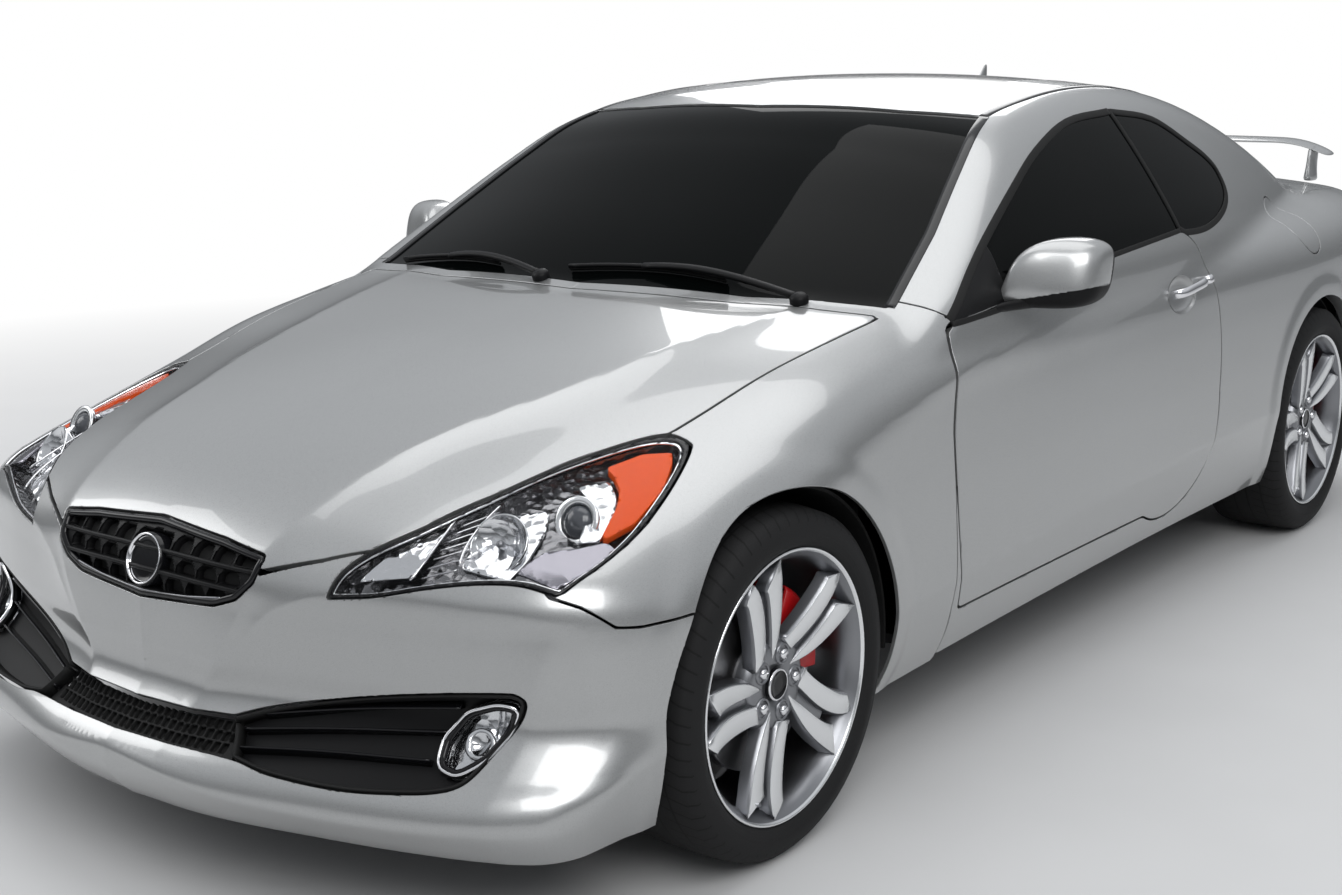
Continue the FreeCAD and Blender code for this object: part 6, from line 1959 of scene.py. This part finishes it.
class CoupeColours(bpy.types.PropertyGroup):
    """Colours that a user may change."""

    paint: FloatVectorProperty(name="Paint", description="Silver of the painted panels",
                               subtype="COLOR", default=(0.41, 0.415, 0.415), min=0, max=1)
    caliper: FloatVectorProperty(name="Calipers", description="Red of the brake calipers",
                                 subtype="COLOR", default=(0.45, 0.008, 0.01), min=0, max=1)
    amber: FloatVectorProperty(name="Turn signals", description="Amber block of the headlamps",
                               subtype="COLOR", default=(0.76, 0.08, 0.002), min=0, max=1)
    cabin: FloatVectorProperty(name="Cabin trim", description="Moulded parts of the cabin",
                               subtype="COLOR", default=(0.02, 0.02, 0.021), min=0, max=1)
    cloth: FloatVectorProperty(name="Seat cloth", description="Cloth of the seats", subtype="COLOR",
                               default=(0.035, 0.035, 0.037), min=0, max=1)


class CoupeSizes(bpy.types.PropertyGroup):
    """Sizes that a user may change."""

    skin_step: FloatProperty(name="Skin spacing",
                             description="Spacing of the net that the panels are cut from",
                             default=0.016, min=0.01, unit="LENGTH")
    door_seal: FloatProperty(name="Door seal", description="Width of the seal over the door glass",
                             default=0.019, unit="LENGTH")
    quarter_seal: FloatProperty(name="Quarter seal",
                                description="Width of the seal round the quarter glass", default=0.017,
                                unit="LENGTH")
    roof_moulding: FloatProperty(name="Roof moulding",
                                 description="Width of the moulding along pillar and roof",
                                 default=0.024, unit="LENGTH")
    belt_strip: FloatProperty(name="Belt strip", description="Width of the strip under the door glass",
                              default=0.013, unit="LENGTH")
    handle_height: FloatProperty(name="Handle height", description="Height of the door pull",
                                 default=0.023, unit="LENGTH")
    handle_reach: FloatProperty(name="Handle reach",
                                description="How far the door pull stands off the door", default=0.030,
                                unit="LENGTH")


def sizes(name):
    """A size from the sidebar, in mm."""
    return getattr(bpy.context.scene.coupe_sizes, name) / MM


@functools.cache
def body_nets():
    """Fine and coarse triangle nets of the whole body, made once."""
    nets = []
    for step in (sizes("skin_step"), COARSE_STEP):
        p, q = skin(step)
        nets.append((p, np.concatenate([q[:, [0, 1, 2]], q[:, [0, 2, 3]]])))
    return nets


class COUPE_OT_finishes(bpy.types.Operator):
    """Make every finish of the car from the colours in the sidebar."""

    bl_idname = "coupe.finishes"
    bl_label = "Finishes"

    def execute(self, context):
        make_materials(context.scene.coupe_colours)
        return {"FINISHED"}


class COUPE_OT_body(bpy.types.Operator):
    """Cut the painted skins and the glass from the car's form."""

    bl_idname = "coupe.body"
    bl_label = "Body panels"

    def execute(self, context):
        make_body(body_nets())
        return {"FINISHED"}


class COUPE_OT_wheels(bpy.types.Operator):
    """Make the four rims with their blades, and the treaded tyres."""

    bl_idname = "coupe.wheels"
    bl_label = "Wheels and tyres"

    def execute(self, context):
        for end in ("front", "rear"):
            for hand in ("left", "right"):
                make_wheel(end, hand)
        return {"FINISHED"}


class COUPE_OT_upper_grille(bpy.types.Operator):
    """Make the grille with its cells, bars and bare boss."""

    bl_idname = "coupe.upper_grille"
    bl_label = "Upper grille"

    def execute(self, context):
        make_upper_grille()
        return {"FINISHED"}


class COUPE_OT_lower_grille(bpy.types.Operator):
    """Make the mesh, the corner bezels with their fins and the fog lamps."""

    bl_idname = "coupe.lower_grille"
    bl_label = "Lower intake"

    def execute(self, context):
        make_lower_grille()
        return {"FINISHED"}


class COUPE_OT_headlamps(bpy.types.Operator):
    """Make the lamps' bowls, reflectors, projectors and amber blocks."""

    bl_idname = "coupe.headlamps"
    bl_label = "Headlamps"

    def execute(self, context):
        make_headlamps(body_nets())
        return {"FINISHED"}


class COUPE_OT_suspension(bpy.types.Operator):
    """Make the calipers, the knuckles and the rear corners."""

    bl_idname = "coupe.suspension"
    bl_label = "Brakes and suspension"

    def execute(self, context):
        make_knuckles()
        return {"FINISHED"}


class COUPE_OT_seats(bpy.types.Operator):
    """Make the padded front seats and the rear bench."""

    bl_idname = "coupe.seats"
    bl_label = "Seats"

    def execute(self, context):
        make_seats()
        return {"FINISHED"}


class COUPE_OT_cabin(bpy.types.Operator):
    """Make the dashboard, the steering wheel and the inside mirror."""

    bl_idname = "coupe.cabin"
    bl_label = "Cabin"

    def execute(self, context):
        make_cabin()
        return {"FINISHED"}


class COUPE_OT_underside(bpy.types.Operator):
    """Give the floor, the exhaust and the arch liners their finishes and small parts."""

    bl_idname = "coupe.underside"
    bl_label = "Underside"

    def execute(self, context):
        make_under()
        return {"FINISHED"}


class COUPE_OT_tail(bpy.types.Operator):
    """Make the lamp bowls, the plate tray, the lower trim and the reflectors."""

    bl_idname = "coupe.tail"
    bl_label = "Tail"

    def execute(self, context):
        make_tail()
        return {"FINISHED"}


class COUPE_OT_mirrors(bpy.types.Operator):
    """Make the door mirrors."""

    bl_idname = "coupe.mirrors"
    bl_label = "Door mirrors"

    def execute(self, context):
        make_mirror()
        return {"FINISHED"}


class COUPE_OT_handles(bpy.types.Operator):
    """Make the chrome pulls and their cups."""

    bl_idname = "coupe.handles"
    bl_label = "Door handles"

    def execute(self, context):
        make_handle()
        return {"FINISHED"}


class COUPE_OT_mouldings(bpy.types.Operator):
    """Make the black seals and mouldings round the glass."""

    bl_idname = "coupe.mouldings"
    bl_label = "Seals and mouldings"

    def execute(self, context):
        make_mouldings()
        return {"FINISHED"}


class COUPE_OT_wipers(bpy.types.Operator):
    """Make the cowl cover and the two wipers."""

    bl_idname = "coupe.wipers"
    bl_label = "Wipers and cowl"

    def execute(self, context):
        make_wipers()
        return {"FINISHED"}


class COUPE_OT_wing(bpy.types.Operator):
    """Make the wing with its two feet."""

    bl_idname = "coupe.wing"
    bl_label = "Deck wing"

    def execute(self, context):
        make_spoiler()
        return {"FINISHED"}


class COUPE_OT_aerial(bpy.types.Operator):
    """Make the fin on the roof."""

    bl_idname = "coupe.aerial"
    bl_label = "Roof aerial"

    def execute(self, context):
        make_fin()
        return {"FINISHED"}


class COUPE_OT_stage(bpy.types.Operator):
    """Make the floor, the lamps and the camera."""

    bl_idname = "coupe.stage"
    bl_label = "Stage"

    def execute(self, context):
        make_stage()
        return {"FINISHED"}


OPERATORS = (
    COUPE_OT_finishes,
    COUPE_OT_body,
    COUPE_OT_wheels,
    COUPE_OT_upper_grille,
    COUPE_OT_lower_grille,
    COUPE_OT_headlamps,
    COUPE_OT_suspension,
    COUPE_OT_seats,
    COUPE_OT_cabin,
    COUPE_OT_underside,
    COUPE_OT_tail,
    COUPE_OT_mirrors,
    COUPE_OT_handles,
    COUPE_OT_mouldings,
    COUPE_OT_wipers,
    COUPE_OT_wing,
    COUPE_OT_aerial,
    COUPE_OT_stage,
)


class COUPE_PT_sidebar(bpy.types.Panel):
    """Sizes, colours and pieces of the coupe."""

    bl_idname = "COUPE_PT_sidebar"
    bl_label = "Coupe"
    bl_space_type = "VIEW_3D"
    bl_region_type = "UI"
    bl_category = "Coupe"

    def draw(self, context):
        for group in (context.scene.coupe_sizes, context.scene.coupe_colours):
            box = self.layout.box()
            for name in group.bl_rna.properties.keys()[2:]:
                box.prop(group, name)
        for operator in OPERATORS:
            self.layout.operator(operator.bl_idname)


CLASSES = (CoupeColours, CoupeSizes, *OPERATORS, COUPE_PT_sidebar)


def register():
    for cls in CLASSES:
        bpy.utils.register_class(cls)
    bpy.types.Scene.coupe_colours = PointerProperty(type=CoupeColours)
    bpy.types.Scene.coupe_sizes = PointerProperty(type=CoupeSizes)


def unregister():
    del bpy.types.Scene.coupe_sizes
    del bpy.types.Scene.coupe_colours
    for cls in reversed(CLASSES):
        bpy.utils.unregister_class(cls)


def main():
    """Registers the add-on and makes every piece in order."""
    register()
    for operator in OPERATORS:
        getattr(bpy.ops.coupe, operator.bl_idname.split(".")[1])()
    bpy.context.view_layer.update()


if __name__ == "__main__":
    main()
